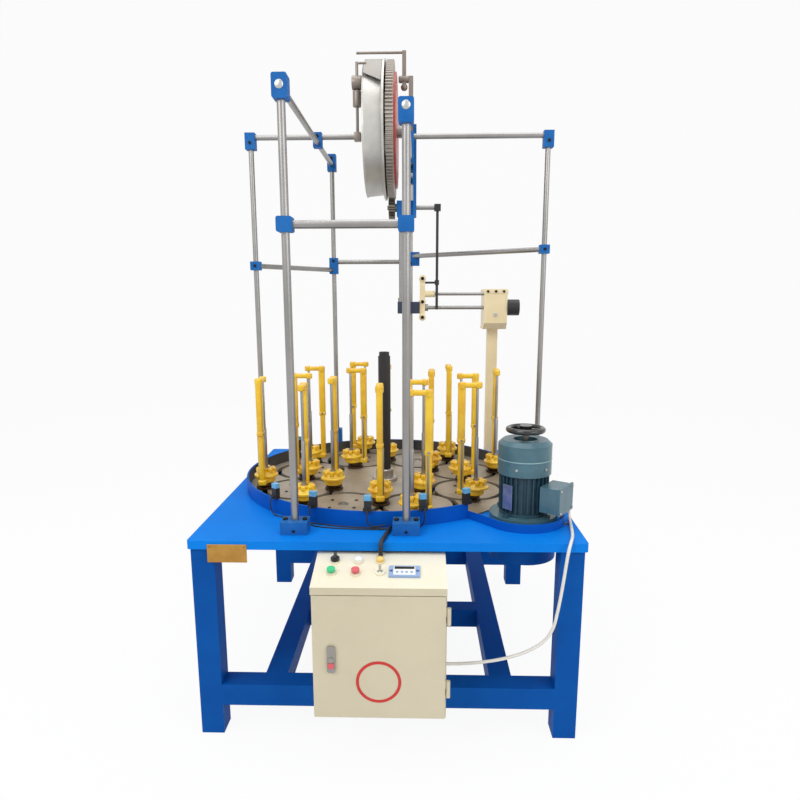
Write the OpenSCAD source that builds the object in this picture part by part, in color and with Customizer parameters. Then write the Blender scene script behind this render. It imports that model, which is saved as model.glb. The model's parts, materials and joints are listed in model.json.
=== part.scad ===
// Rope braiding machine: welded table, ring of eight horn gears with sixteen
// carriers, flange motor, take-up wheel on a rod frame, and a control cabinet.

/* [Table] */
// Width of the table top, left to right
table_w = 1100; // [1080:10:1200]
// Depth of the table top, front to back
table_d = 1100; // [1100:10:1200]
// Height of the table top above the floor
table_h = 595; // [560:5:640]
// Thickness of the table plate
table_t = 8; // [6:1:10]
// Height of the lip round the table
lip_h = 24; // [20:1:30]
// Thickness of the lip
lip_t = 5; // [4:0.5:6]
// Corner radius of the table
table_r = 10; // [8:1:14]
// Side of the square legs and rails
leg_s = 65; // [55:1:75]
// Distance from the table's edge to a leg
leg_inset = 8; // [7:1:20]
// Height of the rails' underside above the floor
rail_z = 91; // [70:1:110]
// Distance of the two long beams from the middle
beam_x = 330; // [300:5:360]
// Place of the middle cross beam, behind the table's middle
mid_beam_y = -40; // [-100:5:60]

/* [Deck] */
// Centre of the deck, from the table's middle, sideways
deck_x = -33; // [-36:1:-30]
// Centre of the deck, from the table's middle, to the back
deck_y = 57; // [50:1:58]
// Outer radius of the fence ring
fence_r = 488; // [484:1:490]
// Height of the fence ring
fence_h = 47; // [40:1:60]
// Sheet thickness of the fence
fence_t = 6; // [4:1:6]
// Height of the low fence round the motor
bay_h = 25; // [18:1:32]
// Inner radius of the fence round the motor
bay_r = 116; // [110:1:118]
// Thickness of the track plate
track_t = 13; // [10:1:15]
// Height of the track plate's top above the table
track_up = 5; // [3:1:7]
// Width of the carrier track
track_w = 18; // [17:0.5:20]
// Depth of the gear pan under the table
pan_depth = 41; // [40:1:48]
// Wall and floor thickness of the gear pan
pan_t = 12; // [8:1:14]

/* [Gears] */
// Module of the drive gears
gear_m = 6; // [5.8:0.05:6]
// Teeth of a horn gear
horn_teeth = 40; // [40:8:40]
// Teeth of the idler
idler_teeth = 28; // [28:1:28]
// Teeth of the motor pinion
pinion_teeth = 12; // [12:1:12]
// Face width of the drive gears
gear_face = 20; // [16:1:22]
// Direction from the first horn gear to the motor, in degrees
drive_angle = -63.5; // [-64:0.5:-63]
// Diameter of the gear studs
stud_d = 30; // [24:1:36]
// Running clearance on the radius of a shaft in its bore
run_gap = 0.05; // [0.02:0.01:0.1]
// Gap between flat faces that slide past each other
slide_gap = 0.3; // [0.2:0.05:0.5]

/* [Carriers] */
// Turn of the carriers away from the point where two gears meet, in degrees
carrier_turn = 2; // [0:1:40]
// Height of a carrier's top above the track plate
carrier_h = 385; // [340:5:400]
// Diameter of the bobbin seat
seat_d = 72; // [60:1:72]
// Diameter of the bobbin spindle
spindle_d = 9; // [7:0.5:12]
// Place of the spindle ahead of the foot
spindle_y = 14; // [10:1:16]
// Place of the column behind the foot
column_y = 36; // [32:1:38]
// Diameter of the driving pin under the foot
pin_d = 14; // [12:0.5:14]

/* [Core] */
// Outer diameter of the core tube
core_d = 43; // [38:1:48]
// Bore of the core tube
core_bore = 25; // [16:1:28]
// Height of the core tube's top above the floor
core_top = 1063; // [1000:5:1120]
// Diameter of the knurled collar
collar_d = 62; // [56:1:70]

/* [Frame] */
// Diameter of the two main posts
post_d = 22; // [20:1:26]
// Place of the left main post, sideways
post_left_x = -262; // [-270:1:-250]
// Place of the right main post, sideways
post_right_x = 54; // [50:1:60]
// Place of the main posts, front to back
post_y = -470; // [-480:1:-465]
// Height of the left post's head over the long cross rod
head_left_up = 7; // [0:1:12]
// Depth of the right post's head below the long cross rod
head_right_down = 52; // [43:1:63]
// Side of a head block
head_s = 40; // [38:1:48]
// Height of the cross bar
bar_z = 1438; // [1400:1:1460]
// Diameter of the thin rods
rod_d = 18; // [14:1:19]
// Place of the left outer post
outer_left = [-495, 150];
// Place of the right outer post
outer_right = [529, 150];
// Place of the rear posts, front to back
rear_y = 520; // [518:1:524]
// Height of the long cross rod
cross_z = 1793; // [1793:1:1800]
// Side of the rod clamps
clamp_s = 34; // [30:1:38]

/* [Take-up] */
// Radius of the take-up drum
drum_r = 226; // [220:1:228]
// Width of the drum
drum_w = 66; // [62:1:70]
// Left end of the drum
drum_x = -104; // [-108:1:-100]
// Height of the drum's axle over the long cross rod
axle_up = 48; // [43:1:53]
// Place of the axle, behind the table's middle
axle_y = 292; // [286:1:298]
// Diameter of the axle
axle_d = 30; // [24:1:32]
// Module of the take-up gear
wheel_m = 4; // [3.95:0.01:4]
// Teeth of the take-up gear
wheel_teeth = 114; // [114:1:114]
// Teeth of the take-up pinion
wheel_pinion_teeth = 18; // [18:1:18]
// Face width of the take-up gear
wheel_face = 25; // [20:1:26]
// Diameter of the upright shaft
upright_d = 20; // [16:1:20]
// Diameter of the drive shaft
drive_d = 14; // [12:1:16]
// Height of the drive shaft
drive_z = 1212; // [1209:1:1214]
// Place of the gearbox column
column_at = [378, 375];
// Side of the gearbox column
column_s = 40; // [36:1:42]
// Depth of the gearbox below its shaft
box_drop = 80; // [70:1:90]
// Height of the gearbox
box_h = 147; // [140:1:155]

/* [Motor] */
// Diameter of the motor's flange
flange_d = 200; // [190:1:210]
// Thickness of the flange
flange_t = 14; // [12:1:18]
// Diameter of the motor body without its fins
motor_d = 128; // [120:1:132]
// Depth of the cooling fins
fin_h = 9; // [6:1:11]
// Number of cooling fins
fin_count = 28; // [20:1:32]
// Length of the finned body
motor_h = 122; // [115:1:135]
// Diameter of the fan cowl
cowl_d = 157; // [154:1:162]
// Height of the fan cowl
cowl_h = 100; // [95:1:110]
// Diameter of the handwheel
handwheel_d = 116; // [100:1:124]
// Diameter of the motor shaft
shaft_d = 19; // [16:1:22]

/* [Cabinet] */
// Width of the cabinet
cab_w = 350; // [330:5:370]
// Middle of the cabinet, sideways
cab_x = -13; // [-20:1:0]
// How far the cabinet's door stands in front of the table
cab_out = 140; // [130:1:160]
// Depth of the cabinet
cab_d = 245; // [235:1:260]
// Fall of the panel from its back edge to its front edge
panel_fall = 34; // [28:1:40]
// Gap between the panel's back edge and the table's lip
cab_gap = 9; // [8:1:16]
// Height of the strip between the panel and the door
strip_h = 20; // [16:1:24]
// Sheet thickness of the cabinet
cab_t = 3; // [2:0.5:4]
// Thickness of the door
door_t = 14; // [10:1:18]
// Radius of the hinge pins
hinge_r = 3; // [2.5:0.25:3.5]

/* [Hidden] */
$fn = 64;
eps = 0.01;

// The origin is under the middle of the whole machine, cabinet lock included
lock_proud = 10;
shift_y = (cab_out + lock_proud) / 2;

plate_z = table_h - table_t;
leg_x = table_w / 2 - leg_inset - leg_s / 2;
leg_y = table_d / 2 - leg_inset - leg_s / 2;
rail_top = rail_z + leg_s;
deck_z = table_h + track_up;
track_z = deck_z - track_t;
pan_z = plate_z - pan_depth - pan_t;
pan_floor = pan_z + pan_t;

horn_r = gear_m * horn_teeth / 2;
idler_r = gear_m * idler_teeth / 2;
pinion_r = gear_m * pinion_teeth / 2;
ring_r = horn_r / sin(22.5);
gear_z = pan_floor + 6;
horn_t = 7;
horn_z = track_z - 3 - horn_t;
stud_bore = stud_d + 2 * run_gap;
disc_r = horn_r - 2;
notch_r = pin_d / 2 + 1.4;

function gear_at(k) = [deck_x + ring_r * cos(45 * k - 22.5), deck_y + ring_r * sin(45 * k - 22.5)];
function along(p, a, d) = [p[0] + d * cos(a), p[1] + d * sin(a)];
function is_odd(k) = k % 2 == 1;
// Direction of a tooth's middle on horn gear k, so that neighbours mesh
function horn_phase(k) = 45 * k - 22.5 + (is_odd(k) ? -112.5 + 180 / horn_teeth : 112.5);
// Tooth direction of a gear that meshes with another in direction b
function mesh_phase(pa, b, na, nb) = b + 180 - (pa - b) * na / nb + 180 / nb;

idler_at = along(gear_at(0), drive_angle, horn_r + idler_r);
motor_at = along(gear_at(0), drive_angle, horn_r + 2 * idler_r + pinion_r);
idler_phase = mesh_phase(horn_phase(0), drive_angle, horn_teeth, idler_teeth);
pinion_phase = mesh_phase(idler_phase, drive_angle, idler_teeth, pinion_teeth);
bay_angle = atan2(motor_at[1] - deck_y, motor_at[0] - deck_x);

head_left_z = cross_z + head_left_up;
head_right_z = cross_z - head_right_down;
axle_z = cross_z + axle_up;
head_left_rod = head_left_z - 28;
head_right_rod = head_right_z - 20;
rear_left = [post_left_x, rear_y];
rear_right = [post_right_x, rear_y];
left_rod_z = 1362;
rear_rod_z = 1394;
right_rod_z = 1416;

wheel_r = wheel_m * wheel_teeth / 2;
wheel_pinion_r = wheel_m * wheel_pinion_teeth / 2;
wheel_pinion_z = axle_z - wheel_r - wheel_pinion_r;
flange_x = drum_x + drum_w;
gear_x = flange_x + 13;
gear_end = gear_x + wheel_face;
disc_t = 8;
plate_x = 66;
plate_t = 12;
upright_x = 23;
pinion_shaft_d = 16;
case_z = wheel_pinion_z - 32;
bevel_z = drive_z - 22;
bevel_h = 44;
hanger_x = 92;
hanger_t = 20;
tie_z = drive_z + 51;
rod_at = [156, axle_y - 16];
strut_d = 10;
box_left = 335;
box_right = 422;
box_z = drive_z - box_drop;
arm_d = 16;
lever_pin = [axle_y - 28, axle_z + 168];
lever_pin_d = 12;
guide_x = drum_x - 20;

motor_up = 12;
motor_z = table_h + motor_up;
body_z = motor_z + flange_t;
cowl_z = body_z + motor_h;
hub_z = cowl_z + cowl_h;

cab_left = cab_x - cab_w / 2;
cab_right = cab_x + cab_w / 2;
door_front = -table_d / 2 - cab_out;
cab_front = door_front + door_t;
cab_rear = cab_front + cab_d;
panel_back = -table_d / 2 - 2;
cab_back_z = table_h - lip_h - cab_gap;
cab_front_z = cab_back_z - panel_fall;
slope = atan2(panel_fall, panel_back - door_front);
hinge_at = [cab_right + 5, door_front + door_t / 2];
hinge_zs = [rail_top + 89, cab_front_z - 78];
lock_at = [cab_left + 51, rail_top + 175];
core_z = pan_z - 20;

sensor_angles = [229, 247, 267, 286, 303, 70, 140];

// Points of the cables, from the table's middle, chosen by hand
motor_route = [[521, -363.3, 659], [527.9, -353.5, 659], [535, -345, 654], [539.5, -341, 642], [541, -342, 626],
    [540, -350, 611], [538, -367, 602], [535, -390, 600], [531, -415, 600], [527, -440, 600], [522, -470, 600],
    [516, -500, 600], [509, -525, 600.5], [503, -545, 603], [497, -560, 599], [491, -569, 583], [486, -573, 555],
    [480, -573, 500], [474, -572, 450], [467, -570, 400], [458, -568, 357], [440, -566, 323], [405, -564, 293],
    [350, -562, 268], [280, -561, 251], [210, -560, 243], [180, -560, 242], [162.1, -560, 242]];
loom_route = [[6, -447, 601.1], [4, -465, 601.1], [0, -490, 601.1], [-4, -515, 601.1], [-8, -538, 602],
    [-11, -552, 601.5], [-13, -560.5, 592], [-14, -562, 577], [-14, -562, 561]];
wire_routes = [
    [[-358.5, -317.5, 648], [-363, -322.6, 647], [-365.5, -326, 637], [-364, -328, 618], [-357, -331, 603],
        [-344, -340, 597.1], [-320, -353, 597.1], [-283, -376, 597.1], [-244, -396, 597.1], [-187, -417, 597.1],
        [-136, -430.5, 597.1], [-85, -438.5, 597.1], [-33, -442, 597.1], [-4, -447, 599]],
    [[-226.9, -399.8, 648], [-229.5, -406, 647], [-231, -410, 637], [-231, -412, 620], [-229, -416, 605],
        [-222, -423, 598], [-205, -432, 597.1], [-170, -442, 597.1], [-110, -450, 597.1],
         [-50, -454, 597.1], [-4, -454, 599]],
    [[-59, -438.5, 648], [-59.4, -445.3, 647], [-59.6, -449.5, 638], [-58.5, -451, 622], [-53, -451, 610],
        [-42, -450, 604], [-22, -446, 605], [-5, -442.5, 606]],
    [[103.8, -420, 648], [105.6, -426.5, 647], [106.5, -430, 637], [105.5, -431, 620], [101, -431.5, 605],
        [90, -431.5, 598], [70, -432, 597.1], [45, -433, 597.1], [24, -433, 598],
         [15, -435.5, 599.5], [11, -442.5, 600]]];
loom_d = 12;
wire_d = 4;
cable_d = 9;

module moved() translate([0, shift_y, 0]) children();
module at(p, z = 0) translate([p[0], p[1], z]) children();
// A straight rod between two points of the plan, at one height
module flat_rod(a, b, z, d, cut = 0) {
    run = norm(b - a);
    turn = atan2(b[1] - a[1], b[0] - a[0]);
    at(a, z) rotate([0, 0, turn]) translate([cut, 0, 0]) rotate([0, 90, 0]) cylinder(d = d, h = run - 2 * cut);
}
module round_square(w, d, r) {
    square([w - 2 * r, d], center = true);
    square([w, d - 2 * r], center = true);
    for (x = [-1, 1], y = [-1, 1])
        translate([x * (w / 2 - r), y * (d / 2 - r)]) circle(r);
}
module block(w, d, z0, z1) translate([0, 0, (z0 + z1) / 2]) cube([w, d, z1 - z0], center = true);

// A spur gear's outline with straight flanks and working backlash
module gear_outline(teeth, m, phase) {
    r = teeth * m / 2;
    tip = 34 / teeth;
    root = 112 / teeth;
    polygon([for (i = [0 : teeth - 1], c = [[r - 1.25 * m, -root], [r + m, -tip], [r + m, tip], [r - 1.25 * m, root]])
        let (a = phase + i * 360 / teeth + c[1]) [c[0] * cos(a), c[0] * sin(a)]]);
}

// A round tube along a list of points
module tube(points, d, sides) {
    n = len(points);
    function dir(i) = let (v = points[min(i + 1, n - 1)] - points[max(i - 1, 0)]) v / norm(v);
    function side(t) = let (v = abs(t[0]) < 0.8 ? cross(t, [1, 0, 0]) : cross(t, [0, 1, 0])) v / norm(v);
    function carry(i) = i == 0 ? side(dir(0))
        : let (u = carry(i - 1), t = dir(i), v = u - (u * t) * t) v / norm(v);
    rings = [for (i = [0 : n - 1]) let (u = carry(i), w = cross(dir(i), u))
        for (j = [0 : sides - 1]) points[i] + d / 2 * (cos(360 * j / sides) * u + sin(360 * j / sides) * w)];
    sides_faces = [for (i = [0 : n - 2], j = [0 : sides - 1]) let (a = i * sides + j, b = i * sides + (j + 1) % sides)
        each [[a, b, b + sides], [a, b + sides, a + sides]]];
    caps = [for (j = [1 : sides - 2])
        each [[0, j + 1, j], [(n - 1) * sides, (n - 1) * sides + j, (n - 1) * sides + j + 1]]];
    polyhedron(rings, [for (f = concat(sides_faces, caps)) [f[0], f[2], f[1]]]);
}

module base_frame() color("#0a4f9e") moved() {
    for (x = [-1, 1], y = [-1, 1])
        translate([x * leg_x, y * leg_y, 0]) block(leg_s, leg_s, 0, plate_z);
    for (y = [-1, 1])
        translate([0, y * leg_y, 0]) block(2 * leg_x - leg_s, leg_s, rail_z, rail_top);
    for (x = [-1, 1])
        translate([x * beam_x, 0, 0]) block(leg_s, 2 * leg_y - leg_s, rail_z, rail_top);
    translate([0, mid_beam_y, 0]) block(2 * beam_x - leg_s, leg_s, rail_z, rail_top);
}

module table_top() color("#0a7be0") moved() difference() {
    translate([0, 0, table_h - lip_h]) linear_extrude(lip_h) round_square(table_w, table_d, table_r);
    translate([0, 0, table_h - lip_h - 1]) linear_extrude(lip_h - table_t + 1)
        round_square(table_w - 2 * lip_t, table_d - 2 * lip_t, table_r - lip_t);
    at([deck_x, deck_y], plate_z - 1) cylinder(r = fence_r - fence_t - 1, h = table_t + 2, $fn = 128);
    at(motor_at, plate_z - 1) cylinder(r = pinion_r + 10, h = table_t + 2);
}

module bay_outline(r) {
    reach = fence_r - fence_t;
    translate(motor_at) circle(r);
    polygon([along([deck_x, deck_y], bay_angle - 13, reach), along(motor_at, bay_angle - 90, r),
        along(motor_at, bay_angle + 90, r), along([deck_x, deck_y], bay_angle + 13, reach)]);
}
module ring_wall() color("#0c5db8") moved() translate([0, 0, table_h]) {
    difference() {
        at([deck_x, deck_y]) cylinder(r = fence_r, h = fence_h, $fn = 128);
        at([deck_x, deck_y], -1) cylinder(r = fence_r - fence_t, h = fence_h + 2, $fn = 128);
        translate([0, 0, -1]) linear_extrude(fence_h + 2) bay_outline(bay_r);
    }
    difference() {
        linear_extrude(bay_h) bay_outline(bay_r + fence_t);
        translate([0, 0, -1]) linear_extrude(bay_h + 2) bay_outline(bay_r);
        at([deck_x, deck_y], -1) cylinder(r = fence_r, h = bay_h + 2, $fn = 128);
    }
}

module pan_outline(grow) {
    translate([deck_x, deck_y]) circle(ring_r + horn_r + 16 + grow, $fn = 128);
    translate(idler_at) circle(idler_r + gear_m + 6 + grow);
    translate(motor_at) circle(pinion_r + gear_m + 50 + grow);
}
module gear_pan() color("#0b3f7d") moved() {
    wall = 6;
    difference() {
        translate([0, 0, pan_z]) linear_extrude(plate_z - pan_z) pan_outline(wall);
        translate([0, 0, pan_floor]) linear_extrude(plate_z - pan_floor + 1) pan_outline(0);
        at(motor_at, pan_z - 1) cylinder(r = pinion_r + gear_m + 8, h = pan_t + 2);
        at([deck_x, deck_y], pan_z - 1) cylinder(d = core_d + 2 * run_gap, h = pan_t + 2);
    }
    difference() {
        translate([0, 0, plate_z - wall]) linear_extrude(wall) union() {
            translate([deck_x, deck_y]) circle(fence_r - 2, $fn = 128);
            pan_outline(26 + wall);
        }
        translate([0, 0, plate_z - wall - 1]) linear_extrude(wall + 2) pan_outline(wall);
    }
    at(motor_at, pan_z - 44) difference() {
        cylinder(r = pinion_r + gear_m + 50 + wall, h = 44);
        translate([0, 0, wall]) cylinder(r = pinion_r + gear_m + 50, h = 44);
    }
}

module track_plate() color("#8f8a80") moved() difference() {
    at([deck_x, deck_y], track_z) cylinder(r = fence_r - fence_t - 2, h = track_t, $fn = 128);
    for (k = [0 : 7]) at(gear_at(k), track_z - 1) cylinder(r = horn_r + track_w / 2, h = track_t + 2, $fn = 96);
    at([deck_x, deck_y], track_z - 1) cylinder(d = core_d + 2 * run_gap, h = track_t + 2);
}

module gear_studs() color("#9a9a98") moved() {
    for (k = [0 : 7]) at(gear_at(k)) {
        translate([0, 0, pan_floor]) cylinder(d = stud_d, h = track_z - pan_floor);
        translate([0, 0, track_z]) cylinder(r = horn_r - track_w / 2, h = track_t, $fn = 96);
    }
    at(idler_at, pan_floor) cylinder(d = stud_d, h = gear_z + gear_face + 4 - pan_floor);
}

module horn_gear(k) color("#5b5a57") moved() at(gear_at(k)) difference() {
    union() {
        translate([0, 0, gear_z]) linear_extrude(gear_face) gear_outline(horn_teeth, gear_m, horn_phase(k));
        translate([0, 0, pan_floor + slide_gap]) cylinder(d = 2 * stud_d, h = horn_z - pan_floor - slide_gap);
        translate([0, 0, horn_z]) difference() {
            cylinder(r = disc_r, h = horn_t, $fn = 96);
            for (j = [0 : 3]) rotate(carrier_angle(k) + 90 * j)
                translate([horn_r, 0, -1]) cylinder(r = notch_r, h = horn_t + 2);
        }
    }
    translate([0, 0, pan_floor - 1]) cylinder(d = stud_bore, h = track_z - pan_floor + 2);
}
// Direction of a gear's first carrier, seen from the gear's own middle
function carrier_angle(k) = 45 * k - 22.5 + (is_odd(k) ? -22.5 - carrier_turn : 112.5 + carrier_turn);

module idler_gear() color("#6a6a68") moved() at(idler_at) difference() {
    union() {
        translate([0, 0, gear_z]) linear_extrude(gear_face) gear_outline(idler_teeth, gear_m, idler_phase);
        translate([0, 0, pan_floor + slide_gap]) cylinder(d = 2 * stud_d, h = gear_z - pan_floor);
    }
    translate([0, 0, pan_floor - 1]) cylinder(d = stud_bore, h = 60);
}

// One carrier, standing on the track plate, with its spindle ahead of its foot
module carrier() {
    foot = slide_gap;
    top = carrier_h;
    arm_h = 13;
    base_z = 20;
    seat_z = 40;
    translate([0, 0, -(track_t + 3 + horn_t)]) cylinder(d = pin_d, h = track_t + 3 + horn_t + foot);
    translate([0, 0, foot]) cylinder(d = 46, h = 7);
    translate([0, 0, foot + 7]) cylinder(d = 30, h = 5);
    translate([0, 0, foot + 12]) cylinder(d = 46, h = base_z - foot - 12);
    translate([0, (spindle_y - column_y) / 2, base_z]) difference() {
        linear_extrude(seat_z - base_z) round_square(28, spindle_y + column_y + 24, 8);
        translate([-20, 0, 10]) rotate([0, 90, 0]) cylinder(d = 9, h = 40);
    }
    translate([0, spindle_y, seat_z]) {
        cylinder(d = seat_d, h = 6);
        translate([0, 0, 6]) cylinder(d = seat_d - 12, h = 3);
        translate([0, 0, 9]) difference() {
            cylinder(d = 48, h = 9);
            for (i = [0 : 3]) rotate(45 * i) translate([-30, -4, 3]) cube([60, 8, 8]);
        }
        cylinder(d = spindle_d, h = top - arm_h - seat_z);
    }
    translate([0, -column_y, 0]) {
        translate([0, 0, seat_z]) linear_extrude(160) round_square(15, 17, 4);
        translate([0, 0, seat_z + 158]) difference() {
            linear_extrude(top - arm_h - seat_z - 158) round_square(18, 23, 6);
            translate([0, 14, 20]) cube([5, 14, 110], center = false);
            translate([-15, 0, 18]) rotate([0, 90, 0]) cylinder(d = 6, h = 30);
            translate([-15, 0, 150]) rotate([0, 90, 0]) cylinder(d = 6, h = 30);
        }
    }
    translate([0, (spindle_y - column_y) / 2, top - arm_h])
        linear_extrude(arm_h) round_square(15, spindle_y + column_y + 30, 7);
}
module carriers(k) color("#f2b81e") moved() at(gear_at(k), deck_z)
    for (j = [0, 1]) rotate(carrier_angle(k) + 180 * j) translate([horn_r, 0, 0])
        mirror([0, is_odd(k) ? 1 : 0, 0]) carrier();

// The tube goes down through the deck and the pan, so that a core can be fed from below
module core_tube() color("#1c1a1c") moved() at([deck_x, deck_y], core_z) difference() {
    union() {
        cylinder(d = core_d, h = core_top - core_z - 14);
        translate([0, 0, core_top - core_z - 14]) cylinder(d = core_d - 7, h = 14);
    }
    translate([0, 0, -1]) cylinder(d = core_bore, h = core_top - core_z + 2);
}
module core_collar() color("#a8a39a") moved() at([deck_x, deck_y], deck_z) difference() {
    union() {
        cylinder(d = collar_d + 28, h = 12);
        translate([0, 0, 12]) cylinder(d = collar_d, h = 30);
    }
    translate([0, 0, -1]) cylinder(d = core_d + 2 * run_gap, h = 50);
}

base_h = 36;
// A block whose front outline has round corners
module face_block(w, d, z0, z1) translate([0, d / 2, (z0 + z1) / 2]) rotate([90, 0, 0])
    linear_extrude(d) round_square(w, z1 - z0, 6);
module main_posts() color("#c4c4c2") moved() {
    for (p = [[post_left_x, head_left_rod], [post_right_x, head_right_rod]])
        at([p[0], post_y], table_h) cylinder(d = post_d, h = p[1] - rod_d / 2 - 3 - table_h);
    flat_rod([post_left_x, post_y], [post_right_x, post_y], bar_z, post_d, post_d / 2 + 1);
}
module post_blocks() color("#1e69b8") moved() {
    for (p = [[post_left_x, head_left_rod, head_left_z], [post_right_x, head_right_rod, head_right_z]])
        at([p[0], post_y]) {
            difference() {
                block(76, 60, table_h, table_h + base_h);
                translate([0, 0, table_h - 1]) cylinder(d = post_d, h = base_h + 2);
            }
            difference() {
                face_block(head_s, head_s, p[2] - 60, p[2]);
                translate([0, 0, table_h]) cylinder(d = post_d, h = p[1] - rod_d / 2 - 3 - table_h);
                translate([0, -head_s, p[1]]) rotate([-90, 0, 0]) cylinder(d = rod_d, h = 2 * head_s);
            }
            difference() {
                face_block(head_s + 2, head_s, bar_z - head_s / 2, bar_z + head_s / 2);
                translate([0, 0, bar_z - 30]) cylinder(d = post_d, h = 60);
                translate([-head_s, 0, bar_z]) rotate([0, 90, 0]) cylinder(d = post_d, h = 2 * head_s);
            }
        }
}

// Cylinder along X from x0 to x1
module bar(x0, x1, d) translate([x0, 0, 0]) rotate([0, 90, 0]) cylinder(d = d, h = x1 - x0);

// The thin posts: place, foot height and top
thin_posts = [[outer_left, deck_z, cross_z - rod_d / 2 - 3], [outer_right, table_h, cross_z - rod_d / 2 - 3],
    [rear_left, table_h, head_left_rod - rod_d / 2 - 3], [rear_right, deck_z, head_right_rod - rod_d / 2 - 3]];
// The lower rods: from post to post, at a height
low_rods = [[outer_left, rear_left, left_rod_z], [rear_left, rear_right, rear_rod_z],
    [rear_right, outer_right, right_rod_z]];
// The two upper cross rods, with the drum's space between them
module cross_rods(out) translate([0, outer_left[1], cross_z]) {
    bar(outer_left[0] - out, guide_x + 8, rod_d);
    bar(post_right_x - 22, outer_right[0] + out, rod_d);
}
module frame_rods() color("#c9c9c7") moved() {
    for (p = thin_posts) at(p[0], p[1]) cylinder(d = rod_d, h = p[2] - p[1]);
    for (r = low_rods) flat_rod(r[0], r[1], r[2], rod_d, rod_d / 2 + 1);
    cross_rods(12);
    flat_rod([post_left_x, post_y], rear_left, head_left_rod, rod_d, -head_s / 2);
    flat_rod([post_right_x, post_y], rear_right, head_right_rod, rod_d, -head_s / 2 + 6);
}
module rod_clamps() color("#1e69b8") moved() {
    difference() {
        union() {
            for (p = [thin_posts[0], thin_posts[1]]) at(p[0]) block(clamp_s, clamp_s, cross_z - 40, cross_z + 14);
            at(rear_left) block(clamp_s, clamp_s, head_left_rod - 24, head_left_rod + 40);
            at(rear_right) block(clamp_s, clamp_s, head_right_rod - 24, head_right_rod + 20);
            at([post_left_x, outer_left[1]]) block(30, 30, head_left_rod - 14, cross_z + 14);
            at([post_right_x, outer_left[1]]) block(30, 30, head_right_rod - 14, cross_z + 14);
            at(outer_left) block(clamp_s, clamp_s, left_rod_z - 15, left_rod_z + 15);
            at(outer_right) block(clamp_s, clamp_s, right_rod_z - 15, right_rod_z + 15);
            at(rear_left) block(clamp_s, clamp_s, left_rod_z - 16, rear_rod_z + 16);
            at(rear_right + [10, 0]) block(clamp_s + 20, clamp_s, rear_rod_z - 16, right_rod_z + 16);
            intersection() {
                at([deck_x, deck_y], deck_z) cylinder(r = fence_r - fence_t, h = 40, $fn = 128);
                for (p = [outer_left, rear_right]) at(p, deck_z) cylinder(d1 = 36, d2 = 26, h = 40);
            }
            at(outer_right, table_h) cylinder(d = 36, h = 40);
            at(rear_left) block(40, 36, table_h, table_h + 100);
        }
        for (p = thin_posts) at(p[0], p[1] - 1) cylinder(d = rod_d, h = p[2] - p[1] + 1);
        for (r = low_rods) flat_rod(r[0], r[1], r[2], rod_d, 0);
        cross_rods(60);
        flat_rod([post_left_x, post_y], rear_left, head_left_rod, rod_d, -60);
        flat_rod([post_right_x, post_y], rear_right, head_right_rod, rod_d, -60);
    }
}

// Plate, fixed axle, pinion case and lever post, clamped to the right long rod
module take_up_bracket() color("#1765b5") moved() {
    difference() {
        union() {
            translate([plate_x + plate_t / 2, axle_y, 0]) block(plate_t, 80, case_z, axle_z + 17);
            translate([(post_right_x + plate_x) / 2 - 3, axle_y, 0])
                block(plate_x - post_right_x + 18 + eps, 50, head_right_rod - 17, head_right_rod + 17);
            translate([(gear_end + 6 + plate_x) / 2, axle_y, 0])
                block(plate_x - gear_end - 6 + eps, 48, case_z, wheel_pinion_z + 23);
        }
        translate([post_right_x, axle_y - 100, head_right_rod]) rotate([-90, 0, 0]) cylinder(d = rod_d, h = 200);
        translate([0, axle_y, wheel_pinion_z]) bar(gear_end, plate_x - 4, pinion_shaft_d + 2 * run_gap);
        at([upright_x, axle_y], case_z - 1) cylinder(d = upright_d + 2 * run_gap, h = 18);
    }
    translate([0, axle_y, axle_z]) {
        bar(drum_x - 14, plate_x, axle_d);
        bar(drum_x - 14, drum_x - slide_gap, axle_d + 18);
        bar(gear_end + disc_t + slide_gap, plate_x, axle_d + 12);
    }
    translate([plate_x - 8, lever_pin[0], 0]) block(16 + eps, 16, head_right_rod + 34, lever_pin[1] + 10);
    translate([0, lever_pin[0], lever_pin[1]]) {
        bar(14, plate_x - 8, lever_pin_d);
        bar(14, 16, lever_pin_d + 8);
    }
    translate([0, rod_at[1], wheel_pinion_z - 2]) bar(plate_x + plate_t, rod_at[0], arm_d);
}

// Grooved drum with a rim on the left and a flange on the right
module take_up_wheel() color("#bdbab3") moved() translate([0, axle_y, axle_z]) rotate([0, 90, 0]) difference() {
    bore = axle_d / 2 + run_gap;
    translate([0, 0, drum_x]) rotate_extrude($fn = 128) polygon([[bore, 0], [bore + 20, 0], [bore + 22, 34],
        [drum_r - 16, 40], [drum_r - 16, 8], [drum_r - 8, 0], [drum_r, 0], [drum_r - 3, 6], [drum_r - 9, drum_w - 6],
        [wheel_r + 8, drum_w], [wheel_r + 8, drum_w + 7], [bore, drum_w + 7]]);
    for (i = [0 : 5]) rotate(60 * i) translate([drum_r * 0.56, 0, drum_x]) cylinder(d = 70, h = drum_w + 20);
}
module wheel_gear() color("#8a8a88") moved() translate([0, axle_y, axle_z]) rotate([0, 90, 0]) difference() {
    union() {
        translate([0, 0, flange_x + 7]) cylinder(r = drum_r * 0.36, h = gear_x - flange_x - 7 + eps);
        translate([0, 0, gear_x]) linear_extrude(wheel_face) gear_outline(wheel_teeth, wheel_m, 180);
        translate([0, 0, gear_end - eps]) cylinder(r = wheel_r - 34, h = disc_t + eps);
    }
    translate([0, 0, flange_x]) cylinder(r = axle_d / 2 + run_gap, h = 80);
}
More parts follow.
